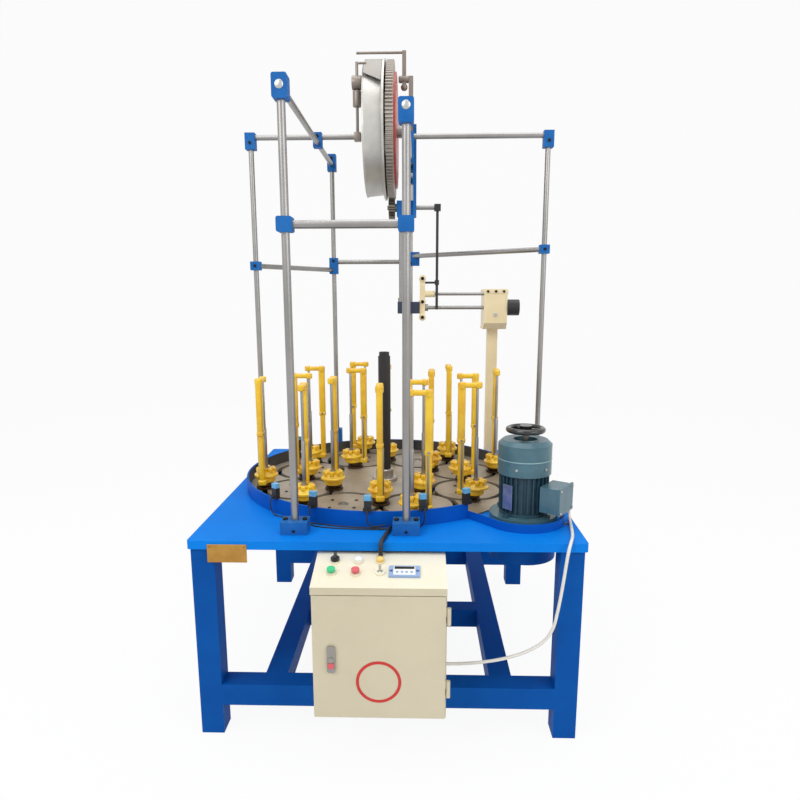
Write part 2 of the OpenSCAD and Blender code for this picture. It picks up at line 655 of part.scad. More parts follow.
module wheel_pinion() color("#9c9c9a") moved() translate([0, axle_y, wheel_pinion_z]) {
    rotate([0, 90, 0]) translate([0, 0, gear_x + 1]) linear_extrude(wheel_face - 2)
        gear_outline(wheel_pinion_teeth, wheel_m, mesh_phase(180, 0, wheel_teeth, wheel_pinion_teeth));
    bar(gear_x - 4, plate_x - 5, pinion_shaft_d);
    bar(gear_end - 2, gear_end + 6 - slide_gap, pinion_shaft_d + 14);
}
module upright_shaft() color("#bcbcba") moved() at([upright_x, axle_y]) {
    translate([0, 0, bevel_z + bevel_h - 12]) cylinder(d = upright_d, h = case_z + 16 - bevel_z - bevel_h + 12);
    translate([0, 0, bevel_z + bevel_h + slide_gap]) cylinder(d = upright_d + 8, h = 14);
}
module drive_shaft() color("#b4b4b2") moved() translate([0, axle_y, drive_z]) {
    bar(hanger_x - 48, box_right + 48, drive_d);
    bar(box_right + slide_gap, box_right + 46, 60);
    bar(hanger_x + hanger_t + slide_gap, hanger_x + hanger_t + 12, drive_d + 12);
}
// Bored arm with the bevel housing on its left and the tie bar to the gearbox
module shaft_hanger() color("#e6cf9c") moved() translate([0, axle_y, 0]) {
    difference() {
        union() {
            translate([hanger_x + hanger_t / 2, 0, 0]) block(hanger_t, 24, drive_z - 44, drive_z + 118);
            translate([(upright_x - 15 + hanger_x) / 2, 0, 0])
                block(hanger_x - upright_x + 15 + eps, 40, bevel_z, bevel_z + bevel_h);
        }
        for (z = [drive_z - 36, drive_z + 22, drive_z + 108]) translate([hanger_x + hanger_t / 2, -20, z])
            rotate([-90, 0, 0]) cylinder(d = 8, h = 40);
        at([upright_x, 0], bevel_z + bevel_h - 13) cylinder(d = upright_d + 2 * run_gap, h = 20);
        translate([0, 0, drive_z]) bar(hanger_x - 50, hanger_x + hanger_t + 1, drive_d + 2 * run_gap);
    }
    translate([0, 0, tie_z]) {
        bar(hanger_x + hanger_t - eps, 150, 24);
        bar(149, box_left, 12);
    }
}
module hanger_rod() color("#1d1f24") moved() {
    difference() {
        union() {
            at(rod_at, drive_z - 7) cylinder(d = strut_d, h = wheel_pinion_z + 14 - drive_z);
            at(rod_at) block(24, 24, wheel_pinion_z - 14, wheel_pinion_z + 10);
            at(rod_at) block(16, 16, drive_z + 84, drive_z + 102);
        }
        translate([0, rod_at[1], wheel_pinion_z - 2]) bar(0, rod_at[0], arm_d);
    }
    translate([0, rod_at[1] + 6, drive_z + 93]) bar(hanger_x + hanger_t, rod_at[0] - 7, 8);
}
box_rear = column_at[1] + column_s / 2 + 3;
module gearbox_column() color("#f0d9a6") moved() at(column_at) block(column_s, column_s, table_h, box_z);
module gearbox_case() color("#e8d3a0") moved() difference() {
    translate([box_left, 0, 0]) rotate([90, 0, 90]) linear_extrude(box_right - box_left)
        polygon([[axle_y - 22, box_z + 22], [axle_y + 4, box_z], [box_rear, box_z], [box_rear, box_z + box_h],
            [axle_y - 14, box_z + box_h], [axle_y - 22, box_z + box_h - 8]]);
    translate([0, axle_y, drive_z]) bar(box_left - 1, box_right + 1, drive_d + 2 * run_gap);
}
// Guide on the end of the left cross rod, with its sheet over the drum
module rope_guide() color("#8d7f74") moved() {
    at([guide_x, outer_left[1]]) {
        difference() {
            block(24, 28, cross_z - 14, cross_z + 14);
            translate([0, 0, cross_z]) bar(-30, 8, rod_d);
        }
        translate([0, 0, cross_z + 14]) cylinder(d = 10, h = 250);
        translate([0, 0, cross_z + 96]) cylinder(d = 30, h = 50);
        translate([0, 0, cross_z + 172]) bar(-17, 17, 46);
        translate([0, 0, cross_z + 234]) bar(0, 32, 8);
    }
    intersection() {
        translate([0, axle_y, axle_z]) rotate([0, 90, 0]) translate([0, 0, drum_x + 4]) difference() {
            cylinder(r = drum_r + 7, h = drum_w - 6, $fn = 128);
            translate([0, 0, -1]) cylinder(r = drum_r + 4, h = drum_w, $fn = 128);
        }
        translate([0, axle_y - 40, 0]) rotate([90, 0, 0]) linear_extrude(240)
            polygon([[drum_x, axle_z + 146], [flange_x, axle_z + 114],
                [flange_x, axle_z + 260], [drum_x, axle_z + 260]]);
    }
}
module pressure_lever() color("#a9a39a") moved() translate([0, lever_pin[0], lever_pin[1]]) difference() {
    union() {
        bar(16 + slide_gap, plate_x - 16 - slide_gap, lever_pin_d + 12);
        translate([34, 0, 0]) block(14, 14, -20, 93);
        translate([0, 0, 88]) bar(-135, 34, 9);
        translate([34, 0, -26]) sphere(d = 24);
    }
    bar(0, plate_x, lever_pin_d + 2 * run_gap);
}

module motor_frame() color("#487080") moved() at(motor_at) {
    difference() {
        union() {
            translate([0, 0, motor_z]) cylinder(d = flange_d, h = flange_t);
            translate([0, 0, table_h]) cylinder(d = flange_d - 30, h = motor_up + eps);
            translate([0, 0, body_z]) cylinder(d = motor_d + 14, h = 10);
            for (i = [0 : 3]) rotate(45 + 90 * i) translate([86, 0, body_z]) cylinder(d = 18, h = 8, $fn = 6);
            translate([0, 0, body_z]) cylinder(d = motor_d, h = motor_h);
            for (i = [0 : fin_count - 1]) rotate(i * 360 / fin_count)
                translate([motor_d / 2 - 2, -1.5, body_z + 12]) cube([fin_h + 2, 3, motor_h - 16]);
        }
        translate([0, 0, table_h - 1]) cylinder(d = shaft_d + 2 * run_gap, h = cowl_z - table_h + 2);
    }
}
module fan_cowl() color("#4d7684") moved() at(motor_at, cowl_z) difference() {
    union() {
        cylinder(d = cowl_d, h = cowl_h - 12);
        translate([0, 0, cowl_h - 12]) cylinder(d1 = cowl_d, d2 = cowl_d - 26, h = 12);
    }
    translate([0, 0, 44]) rotate_extrude() translate([cowl_d / 2, 0]) circle(d = 4);
    translate([0, 0, cowl_h - 14]) cylinder(d = 70, h = 20);
    translate([0, 0, -1]) cylinder(d = shaft_d + 2 * run_gap, h = cowl_h + 2);
}
term_turn = -35;
module terminal_box() color("#527c88") moved() at(motor_at) rotate(term_turn) {
    difference() {
        union() {
            translate([100, 0, 0]) block(56, 90, body_z + 24, body_z + 98);
            translate([131, 0, 0]) block(6, 96, body_z + 21, body_z + 101);
        }
        cylinder(d = motor_d + 2 * fin_h + 0.1, h = 900);
    }
    translate([104, 45, body_z + 38]) rotate([-90, 0, 0]) cylinder(d = 20, h = 15);
}
module motor_shaft() color("#9b9b98") moved() at(motor_at) {
    translate([0, 0, gear_z - 6]) cylinder(d = shaft_d, h = hub_z + 46 - gear_z);
    translate([0, 0, gear_z]) linear_extrude(gear_face) gear_outline(pinion_teeth, gear_m, pinion_phase);
}
module handwheel() color("#191a1c") moved() at(motor_at, hub_z + 20) difference() {
    union() {
        translate([0, 0, 8]) rotate_extrude() translate([handwheel_d / 2 - 8, 0]) circle(d = 16, $fn = 32);
        for (i = [0 : 2]) rotate(120 * i) translate([14, -6, 2]) cube([handwheel_d / 2 - 22, 12, 8]);
        cylinder(d = 36, h = 20);
    }
    translate([0, 0, -1]) cylinder(d = shaft_d, h = 40);
}

module cabinet_profile() {
    polygon([[cab_front, rail_top], [cab_rear, rail_top], [cab_rear, cab_back_z], [panel_back, cab_back_z],
        [door_front, cab_front_z], [door_front, cab_front_z - strip_h], [cab_front, cab_front_z - strip_h]]);
}
module cabinet_space() {
    t = cab_t;
    polygon([[cab_front + t, rail_top + t], [cab_rear - t, rail_top + t], [cab_rear - t, cab_back_z - t],
        [panel_back, cab_back_z - t], [cab_front + t, cab_front_z + (door_t + t) * tan(slope) - t]]);
}
module along_x(x0, x1) translate([x0, 0, 0]) rotate([90, 0, 90]) linear_extrude(x1 - x0) children();
module on_panel(x, s) translate([x, panel_back, cab_back_z]) rotate([slope, 0, 0]) translate([0, -s, 0]) children();
// Panel controls: sideways place and distance from the panel's back edge
selector_at = [-135, 32];
white_at = [-72, 34];
yellow_at = [-14, 34];
start_at = [-140, 82];
stop_at = [-76, 84];
toggle_at = [-12, 80];
counter_at = [52, 78];
button_d = 18;
module control_cabinet() color("#d8cdae") moved() difference() {
    along_x(cab_left, cab_right) cabinet_profile();
    along_x(cab_left + cab_t, cab_right - cab_t) cabinet_space();
    translate([cab_x, cab_front, 0]) block(cab_w - 40, 20, rail_top + 22, cab_front_z - 36);
    for (p = [selector_at, start_at, stop_at, toggle_at]) on_panel(p[0], p[1])
        translate([0, 0, -20]) cylinder(d = button_d + 1, h = 40);
}
module panel_fittings() color("#b9bcbe") moved() {
    for (p = [white_at, yellow_at]) on_panel(p[0], p[1]) {
        cylinder(d = 26, h = 5);
        translate([0, 0, 5]) cylinder(d = 20, h = 7);
    }
    for (p = [selector_at, start_at, stop_at, toggle_at]) on_panel(p[0], p[1]) difference() {
        union() {
            cylinder(d = 28, h = 5);
            translate([0, 0, -14]) cylinder(d = button_d + 1, h = 15);
        }
        translate([0, 0, -12]) cylinder(d = 14, h = 30);
    }
}
module counter_meter() color("#2f7fd0") moved() on_panel(counter_at[0], counter_at[1]) {
    linear_extrude(6) round_square(82, 44, 3);
    translate([0, 4, 6]) linear_extrude(2) round_square(52, 22, 2);
}
module start_button() color("#1f8a4c") moved() on_panel(start_at[0], start_at[1]) {
    cylinder(d = 14 - 2 * run_gap, h = 6);
    translate([0, 0, 9]) cylinder(d = 22, h = 6);
    translate([0, 0, 5]) cylinder(d = 12, h = 5);
}
module stop_button() color("#c8362c") moved() on_panel(stop_at[0], stop_at[1]) {
    cylinder(d = 14 - 2 * run_gap, h = 6);
    translate([0, 0, 9]) cylinder(d = 22, h = 6);
    translate([0, 0, 5]) cylinder(d = 12, h = 5);
}
module selector_knob() color("#1a1a1c") moved() on_panel(selector_at[0], selector_at[1]) {
    translate([0, 0, -6]) cylinder(d = 14 - 2 * run_gap, h = 12);
    translate([0, 0, 5 + slide_gap]) cylinder(d = 24, h = 6);
    translate([-4, -12, 11]) cube([8, 24, 9]);
}
module toggle_lever() color("#c9c9c7") moved() on_panel(toggle_at[0], toggle_at[1]) {
    sphere(d = 14 - 2 * run_gap);
    cylinder(d1 = 5, d2 = 8, h = 24);
}
module cabinet_door() color("#ddd2b3") moved() {
    difference() {
        translate([cab_x, door_front + (door_t - 1) / 2, 0])
            block(cab_w - 6, door_t - 1, rail_top + 6, cab_front_z - strip_h - 2);
        translate([cab_x, door_front + (door_t - 1) / 2 + 4, 0])
            block(cab_w - 14, door_t - 1, rail_top + 10, cab_front_z - strip_h - 6);
        translate([lock_at[0], door_front, lock_at[1]]) rotate([-90, 0, 0])
            translate([0, 0, -5]) cylinder(d = 16 + 2 * run_gap, h = 30);
    }
    for (z = hinge_zs) at(hinge_at, z + slide_gap) difference() {
        union() {
            cylinder(r = hinge_r + 2.5, h = 22);
            translate([-12, -2, 0]) cube([8, 4, 22]);
        }
        translate([0, 0, -1]) cylinder(r = hinge_r + run_gap, h = 24);
    }
}
module door_hinges() color("#cfc5a8") moved() for (z = hinge_zs) {
    at(hinge_at, z - 24) cylinder(r = hinge_r, h = 44);
    at(hinge_at, z - 24) {
        cylinder(r = hinge_r + 2.5, h = 24);
        translate([-5, 0, 0]) cube([3, 40, 24]);
        translate([-5, 0, 0]) cube([5, 3, 24]);
    }
}
module door_lock() color("#c6c6c4") moved() translate([lock_at[0], door_front, lock_at[1]]) rotate([90, 0, 0]) {
    translate([0, 0, -door_t + 4]) cylinder(d = 16, h = door_t - 4 + 1);
    translate([0, 0, slide_gap]) linear_extrude(lock_proud - 4) round_square(22, 74, 6);
    translate([0, 0, lock_proud - 4]) cylinder(d = 14, h = 4);
    translate([-20, -9, -door_t - 3 + 4]) cube([30, 18, 3]);
}

module at_sensor(a) at([deck_x, deck_y]) rotate(a) translate([fence_r - fence_t / 2, 0, 0]) children();
module sensor_posts() color("#202124") moved() for (a = sensor_angles) at_sensor(a) {
    block(16, 20, table_h + fence_h, table_h + fence_h + 34);
    translate([7, 0, 0]) block(8, 26, table_h + fence_h, table_h + fence_h + 12);
}
module sensor_heads() color("#6fb1d6") moved() for (a = sensor_angles) at_sensor(a)
    translate([0, 0, table_h + fence_h + 34]) linear_extrude(14) round_square(18, 22, 4);

module motor_cable() color("#dedbd2") moved() tube(motor_route, cable_d, 8);
module sensor_loom() color("#17181a") moved() {
    tube(loom_route, loom_d, 8);
    for (w = wire_routes) tube(w, wire_d, 8);
}

base_frame();
table_top();
ring_wall();
gear_pan();
track_plate();
gear_studs();
core_tube();
core_collar();
main_posts();
post_blocks();
frame_rods();
rod_clamps();
take_up_bracket();
motor_frame();
fan_cowl();
terminal_box();
gearbox_column();
gearbox_case();
shaft_hanger();
hanger_rod();
rope_guide();
control_cabinet();
panel_fittings();
counter_meter();
door_hinges();
sensor_posts();
sensor_heads();
motor_cable();
sensor_loom();
for (k = [0 : 7]) {
    horn_gear(k);
    carriers(k);
}
take_up_wheel();
wheel_gear();
wheel_pinion();
upright_shaft();
drive_shaft();
motor_shaft();
handwheel();
idler_gear();
cabinet_door();
door_lock();
start_button();
stop_button();
selector_knob();
toggle_lever();
pressure_lever();
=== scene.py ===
# %% [markdown]
# The machine stands on the floor in real size, in metres. The frame comes first: every
# solid of the part is loaded at its own place, and all the looks are built around it.

# %% Load the frame
import json
import math

import bpy
from mathutils import Matrix, Vector


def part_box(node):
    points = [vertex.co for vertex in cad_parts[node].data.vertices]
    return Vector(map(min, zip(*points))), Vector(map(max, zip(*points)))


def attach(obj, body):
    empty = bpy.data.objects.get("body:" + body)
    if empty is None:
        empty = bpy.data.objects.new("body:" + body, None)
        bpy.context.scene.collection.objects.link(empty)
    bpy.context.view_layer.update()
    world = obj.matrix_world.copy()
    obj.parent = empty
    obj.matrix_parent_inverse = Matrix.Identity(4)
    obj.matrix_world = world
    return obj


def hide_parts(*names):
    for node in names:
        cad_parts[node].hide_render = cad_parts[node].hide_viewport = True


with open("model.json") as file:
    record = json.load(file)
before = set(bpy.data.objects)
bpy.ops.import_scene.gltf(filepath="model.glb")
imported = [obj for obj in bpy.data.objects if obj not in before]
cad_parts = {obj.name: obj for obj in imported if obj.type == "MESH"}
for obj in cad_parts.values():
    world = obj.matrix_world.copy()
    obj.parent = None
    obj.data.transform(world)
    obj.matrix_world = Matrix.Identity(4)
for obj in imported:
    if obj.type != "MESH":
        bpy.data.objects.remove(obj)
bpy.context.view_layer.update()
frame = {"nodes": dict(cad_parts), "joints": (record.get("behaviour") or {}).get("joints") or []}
nodes = frame["nodes"]

# %% [markdown]
# The camera stands where the photographer stood: about 2.1 m in front of the machine's
# middle, a little to its right and above the carriers, tilted down by eleven degrees. The
# small shift sets the machine at its height in the square picture.

# %% Camera
CAMERA_AT = (0.085, -2.140, 1.251)
CAMERA_PITCH = -10.85
CAMERA_YAW = 1.56
CAMERA_ROLL = 0.12
CAMERA_LENS = 29.1
CAMERA_SHIFT = 0.0265

bpy.ops.object.select_all(action="DESELECT")
bpy.ops.object.camera_add(location=CAMERA_AT)
camera = bpy.context.object
camera.name = "photo_camera"
camera.rotation_euler = [math.radians(a) for a in (90 + CAMERA_PITCH, CAMERA_ROLL, CAMERA_YAW)]
camera.data.lens = CAMERA_LENS
camera.data.sensor_width = 36
camera.data.shift_y = CAMERA_SHIFT
camera.data.clip_start = 0.05
bpy.context.scene.camera = camera
print("camera at", tuple(round(v, 3) for v in camera.location))

# %% [markdown]
# Cables come next, because they are the only loose pieces. Each is a curve through the
# same points as its solid, given a round section. Points are measured from the table's
# middle, and the table stands a little behind the middle of the whole machine.

# %% Cables
TABLE_BACK = 0.075
MM = 0.001


def row(x, y, z):
    """A point measured in millimetres from the table's middle, as a place in the frame."""
    return Vector((x * MM, y * MM + TABLE_BACK, z * MM))


MOTOR_ROUTE = [
    (521, -363.3, 659), (527.9, -353.5, 659), (535, -345, 654), (539.5, -341, 642), (541, -342, 626),
    (540, -350, 611), (538, -367, 602), (535, -390, 600), (531, -415, 600), (527, -440, 600),
    (522, -470, 600), (516, -500, 600), (509, -525, 600.5), (503, -545, 603), (497, -560, 599),
    (491, -569, 583), (486, -573, 555), (480, -573, 500), (474, -572, 450), (467, -570, 400),
    (458, -568, 357), (440, -566, 323), (405, -564, 293), (350, -562, 268), (280, -561, 251),
    (210, -560, 243), (180, -560, 242), (162.1, -560, 242)]
LOOM_ROUTE = [
    (6, -447, 601.1), (4, -465, 601.1), (0, -490, 601.1), (-4, -515, 601.1), (-8, -538, 602),
    (-11, -552, 601.5), (-13, -560.5, 592), (-14, -562, 577), (-14, -562, 561)]
WIRE_ROUTES = [
    [(-358.5, -317.5, 648), (-363, -322.6, 647), (-365.5, -326, 637), (-364, -328, 618), (-357, -331, 603),
     (-344, -340, 597.1), (-320, -353, 597.1), (-283, -376, 597.1), (-244, -396, 597.1),
     (-187, -417, 597.1), (-136, -430.5, 597.1), (-85, -438.5, 597.1), (-33, -442, 597.1), (-4, -447, 599)],
    [(-226.9, -399.8, 648), (-229.5, -406, 647), (-231, -410, 637), (-231, -412, 620), (-229, -416, 605),
     (-222, -423, 598), (-205, -432, 597.1), (-170, -442, 597.1), (-110, -450, 597.1), (-50, -454, 597.1),
     (-4, -454, 599)],
    [(-59, -438.5, 648), (-59.4, -445.3, 647), (-59.6, -449.5, 638), (-58.5, -451, 622), (-53, -451, 610),
     (-42, -450, 604), (-22, -446, 605), (-5, -442.5, 606)],
    [(103.8, -420, 648), (105.6, -426.5, 647), (106.5, -430, 637), (105.5, -431, 620), (101, -431.5, 605),
     (90, -431.5, 598), (70, -432, 597.1), (45, -433, 597.1), (24, -433, 598), (15, -435.5, 599.5),
     (11, -442.5, 600)]]
CABLE_D = 0.009
LOOM_D = 0.012
WIRE_D = 0.004


def cable(name, route, diameter, node):
    curve = bpy.data.curves.new(name, "CURVE")
    curve.dimensions = "3D"
    curve.bevel_depth = 1.0
    curve.bevel_resolution = 4
    curve.use_fill_caps = True
    curve.resolution_u = 6
    spline = curve.splines.new("BEZIER")
    spline.bezier_points.add(len(route) - 1)
    for point, place in zip(spline.bezier_points, route):
        point.co = row(*place)
        point.radius = diameter / 2
        point.handle_left_type = point.handle_right_type = "AUTO"
    piece = bpy.data.objects.new(name, curve)
    bpy.context.scene.collection.objects.link(piece)
    bpy.context.view_layer.update()
    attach(piece, "frame")
    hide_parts(node)
    return piece


motor_cable = cable("motor_supply_cable", MOTOR_ROUTE, CABLE_D, "motor_cable")
loom = cable("sensor_conduit", LOOM_ROUTE, LOOM_D, "sensor_loom")
wires = [cable(f"sensor_wire_{i + 1}", route, WIRE_D, "sensor_loom")
         for i, route in enumerate(WIRE_ROUTES)]

# %% [markdown]
# The floor is a plain pale sheet that bends up into a backdrop, so that no horizon shows.
# The camera and the bright metals see it nearly white, and it still takes soft shadows.

# %% Floor
FLOOR_SIZE = 16.0
FLOOR_BACK = 1.0
BACKDROP_H = 8.0
BEND = 1.2
GLOW_SHARE = 0.93

bpy.ops.object.select_all(action="DESELECT")
bpy.ops.mesh.primitive_plane_add(size=FLOOR_SIZE, location=(0, FLOOR_BACK, 0))
floor = bpy.context.object
floor.name = "floor"
bpy.ops.object.transform_apply(location=True)
bpy.ops.object.mode_set(mode="EDIT")
bpy.ops.mesh.select_all(action="DESELECT")
bpy.ops.object.mode_set(mode="OBJECT")
for edge in floor.data.edges:
    edge.select = all(floor.data.vertices[v].co.y > FLOOR_BACK for v in edge.vertices)
bpy.ops.object.mode_set(mode="EDIT")
bpy.ops.mesh.extrude_region_move(TRANSFORM_OT_translate={"value": (0, 0, BACKDROP_H)})
bpy.ops.object.mode_set(mode="OBJECT")
bend = floor.modifiers.new("soft_bend", "BEVEL")
bend.width, bend.segments, bend.limit_method = BEND, 12, "ANGLE"
bpy.context.view_layer.objects.active = floor
bpy.ops.object.modifier_apply(modifier=bend.name)
bpy.ops.object.shade_smooth()


def looked_at(tree, share):
    """A share where the camera, a reflection or glass looks at the surface, and nothing elsewhere."""
    path = tree.nodes.new("ShaderNodeLightPath")
    mirrored, seen, scaled = (tree.nodes.new("ShaderNodeMath") for _ in range(3))
    mirrored.operation = seen.operation = "MAXIMUM"
    scaled.operation = "MULTIPLY"
    scaled.inputs[1].default_value = share
    tree.links.new(path.outputs["Is Glossy Ray"], mirrored.inputs[0])
    tree.links.new(path.outputs["Is Transmission Ray"], mirrored.inputs[1])
    tree.links.new(path.outputs["Is Camera Ray"], seen.inputs[0])
    tree.links.new(mirrored.outputs[0], seen.inputs[1])
    tree.links.new(seen.outputs[0], scaled.inputs[0])
    return scaled.outputs[0]


backdrop = bpy.data.materials.new("pale_backdrop")
backdrop.use_nodes = True
tree = backdrop.node_tree
tree.nodes.clear()
paper = tree.nodes.new("ShaderNodeBsdfDiffuse")
paper.inputs["Color"].default_value = (0.92, 0.92, 0.92, 1)
glow = tree.nodes.new("ShaderNodeEmission")
glow.inputs["Color"].default_value = (1, 1, 1, 1)
glow.inputs["Strength"].default_value = 1.0
together = tree.nodes.new("ShaderNodeMixShader")
out = tree.nodes.new("ShaderNodeOutputMaterial")
tree.links.new(looked_at(tree, GLOW_SHARE), together.inputs["Fac"])
tree.links.new(paper.outputs[0], together.inputs[1])
tree.links.new(glow.outputs[0], together.inputs[2])
tree.links.new(together.outputs[0], out.inputs["Surface"])
floor.data.materials.append(backdrop)
print("floor of", FLOOR_SIZE, "m")

# %% [markdown]
# Two broad lamps stand left and right in front, and a third hangs overhead, as in a
# photograph made by soft daylight. Where the camera or a bright metal looks past the
# floor, it sees plain white; a weaker pale sky gives the soft light from all sides.

# %% Light
SKY_LIGHT = 0.50
MIDDLE = (0, 0, 0.9)

world = bpy.data.worlds.new("daylight")
bpy.context.scene.world = world
world.use_nodes = True
tree = world.node_tree
sky = tree.nodes["Background"]
sky.inputs["Color"].default_value = (0.97, 0.98, 1.0, 1)
sky.inputs["Strength"].default_value = SKY_LIGHT
white = tree.nodes.new("ShaderNodeBackground")
white.inputs["Color"].default_value = (1, 1, 1, 1)
white.inputs["Strength"].default_value = 1.0
either = tree.nodes.new("ShaderNodeMixShader")
tree.links.new(looked_at(tree, 1.0), either.inputs["Fac"])
tree.links.new(sky.outputs[0], either.inputs[1])
tree.links.new(white.outputs[0], either.inputs[2])
tree.links.new(either.outputs[0], tree.nodes["World Output"].inputs["Surface"])


def lamp(name, place, size, power):
    bpy.ops.object.select_all(action="DESELECT")
    bpy.ops.object.light_add(type="AREA", location=place)
    light = bpy.context.object
    light.name = name
    light.data.size = size
    light.data.energy = power
    light.rotation_euler = (Vector(place) - Vector(MIDDLE)).to_track_quat("Z", "Y").to_euler()


lamp("key_left", (-2.4, -3.0, 3.6), 2.4, 80)
lamp("fill_right", (2.8, -2.6, 2.6), 2.6, 45)
lamp("overhead", (0, 0.2, 4.4), 3.0, 60)
bpy.context.scene.view_settings.view_transform = "Standard"
print("three lamps")

# %% [markdown]
# Real paint and metal are never one flat colour. This node group gives every finish the
# same two signals: a slow drift over hand-sized areas, and a fine grain. They read object
# coordinates, so the pattern stays on the piece when it moves.

# %% Shared surface signals
play = bpy.data.node_groups.new("surface_play", "ShaderNodeTree")
for socket, scale in (("Drift Scale", 4.0), ("Grain Scale", 300.0)):
    play.interface.new_socket(socket, in_out="INPUT", socket_type="NodeSocketFloat").default_value = scale
for socket in ("Drift", "Grain"):
    play.interface.new_socket(socket, in_out="OUTPUT", socket_type="NodeSocketFloat")
group_in = play.nodes.new("NodeGroupInput")
group_out = play.nodes.new("NodeGroupOutput")
coordinates = play.nodes.new("ShaderNodeTexCoord")
for socket, detail in (("Drift", 4), ("Grain", 2)):
    noise = play.nodes.new("ShaderNodeTexNoise")
    noise.inputs["Detail"].default_value = detail
    noise.inputs["Roughness"].default_value = 0.6
    play.links.new(coordinates.outputs["Object"], noise.inputs["Vector"])
    play.links.new(group_in.outputs[socket + " Scale"], noise.inputs["Scale"])
    play.links.new(noise.outputs["Fac"], group_out.inputs[socket])
print("surface signals with", len(play.nodes), "nodes")

# %% [markdown]
# Each finish runs between two near colours and two near roughnesses. Colours are written
# as a screen shows them. The blue paints are given little shine, because the white room
# would wash them out. A clear coat makes the carriers, buttons and lenses glossy.

# %% Finishes
GRAIN_DEPTH = 0.0006


def srgb(r, g, b):
    """A colour as a screen shows it, 0 to 255, as the light values that shaders use."""
    shares = [c / 255 for c in (r, g, b)]
    return tuple(c / 12.92 if c <= 0.04 else ((c + 0.055) / 1.055) ** 2.4 for c in shares) + (1,)


def material(name, colour, second, metallic=0.0, roughness=(0.3, 0.45), drift=5.0, grain=350.0,
             bump=0.02, coat=0.0, specular=0.5):
    """A finish that drifts between two colours and two roughnesses, with a fine grain."""
    made = bpy.data.materials.new(name)
    made.use_nodes = True
    tree = made.node_tree
    shader = tree.nodes["Principled BSDF"]
    signals = tree.nodes.new("ShaderNodeGroup")
    signals.node_tree = play
    signals.inputs["Drift Scale"].default_value = drift
    signals.inputs["Grain Scale"].default_value = grain
    ramp = tree.nodes.new("ShaderNodeValToRGB")
    ramp.color_ramp.elements[0].position = 0.3
    ramp.color_ramp.elements[1].position = 0.7
    ramp.color_ramp.elements[0].color = srgb(*colour)
    ramp.color_ramp.elements[1].color = srgb(*second)
    tree.links.new(signals.outputs["Drift"], ramp.inputs["Fac"])
    tree.links.new(ramp.outputs["Color"], shader.inputs["Base Color"])
    spread = tree.nodes.new("ShaderNodeMapRange")
    spread.inputs["To Min"].default_value = roughness[0]
    spread.inputs["To Max"].default_value = roughness[1]
    tree.links.new(signals.outputs["Grain"], spread.inputs["Value"])
    tree.links.new(spread.outputs["Result"], shader.inputs["Roughness"])
    relief = tree.nodes.new("ShaderNodeBump")
    relief.inputs["Strength"].default_value = bump
    relief.inputs["Distance"].default_value = GRAIN_DEPTH
    tree.links.new(signals.outputs["Grain"], relief.inputs["Height"])
    tree.links.new(relief.outputs["Normal"], shader.inputs["Normal"])
    shader.inputs["Metallic"].default_value = metallic
    shader.inputs["Coat Weight"].default_value = coat
    shader.inputs["Specular IOR Level"].default_value = specular
    return made


DULL = (0.5, 0.62)
table_blue = material("table_blue_paint", (0, 120, 220), (2, 130, 230), roughness=DULL, specular=0.12)
frame_blue = material("frame_blue_paint", (0, 76, 156), (2, 86, 168), roughness=DULL, specular=0.10)
fence_blue = material("fence_blue_paint", (0, 84, 176), (2, 96, 192), roughness=DULL, specular=0.12)
clamp_blue = material("clamp_blue_paint", (20, 94, 164), (34, 108, 180), drift=14, roughness=(0.45, 0.6),
                      specular=0.18)
motor_teal = material("motor_hammer_paint", (60, 98, 110), (76, 114, 126), drift=18, grain=180, bump=0.08,
                      specular=0.4, coat=0.25)
# A pale teal that paints the highlight along the top edge of the motor's cowl.
highlight_teal = material("cowl_bead_paint", (128, 164, 168), (146, 180, 184), drift=18)
fin_teal = material("motor_fin_paint", (38, 66, 80), (54, 86, 98), drift=22, grain=180, bump=0.12,
                    specular=0.3)
deck_steel = material("oiled_deck_steel", (148, 137, 120), (184, 173, 156), metallic=0.4,
                      roughness=(0.32, 0.5), drift=7)
gear_steel = material("machined_gear_steel", (118, 114, 106), (140, 136, 128), metallic=0.9,
                      roughness=(0.3, 0.5))
chrome = material("ground_rod_steel", (142, 140, 138), (160, 158, 156), metallic=0.9,
                  roughness=(0.30, 0.38), grain=600, bump=0.002)
yellow = material("carrier_yellow_paint", (236, 178, 20), (252, 212, 48), drift=16,
                  roughness=(0.28, 0.42), coat=0.35)
# The carriers' feet are dark brown: partly their own colour, partly painted shadow under the yellow seats.
foot_brown_and_shadow = material("worn_foot_bronze", (48, 35, 26), (92, 68, 42), metallic=0.6, drift=30,
                       roughness=(0.35, 0.55))
black_paint = material("tube_black_paint", (24, 22, 24), (34, 31, 33), drift=8, roughness=(0.38, 0.55))
collar_steel = material("knurled_steel", (164, 160, 152), (188, 184, 176), metallic=0.9,
                        roughness=(0.28, 0.42))
drum_metal = material("cast_drum_metal", (176, 174, 168), (204, 202, 196), metallic=0.65, drift=9,
                      roughness=(0.35, 0.5))
gear_grey = material("take_up_gear_grey", (166, 158, 150), (186, 179, 171), metallic=0.6,
                     roughness=(0.35, 0.55))
disc_red = material("disc_red_paint", (172, 66, 58), (196, 88, 78), drift=12)
cream = material("gearbox_cream_paint", (232, 212, 166), (244, 226, 184), drift=9, coat=0.2)
cabinet_cream = material("cabinet_cream_paint", (204, 194, 166), (212, 202, 174), drift=4, grain=420,
                         bump=0.08)
panel_cream = material("panel_cream_paint", (238, 230, 206), (244, 237, 214), drift=4, grain=420, bump=0.06)
black_plastic = material("black_plastic", (22, 23, 26), (32, 33, 36), roughness=(0.4, 0.55))
black_gloss = material("handwheel_black", (16, 17, 18), (26, 26, 28), roughness=(0.18, 0.3), coat=0.4)
sensor_blue = material("sensor_blue_plastic", (92, 164, 204), (112, 184, 220), drift=30)
counter_blue = material("counter_blue_plastic", (140, 168, 210), (152, 180, 220))
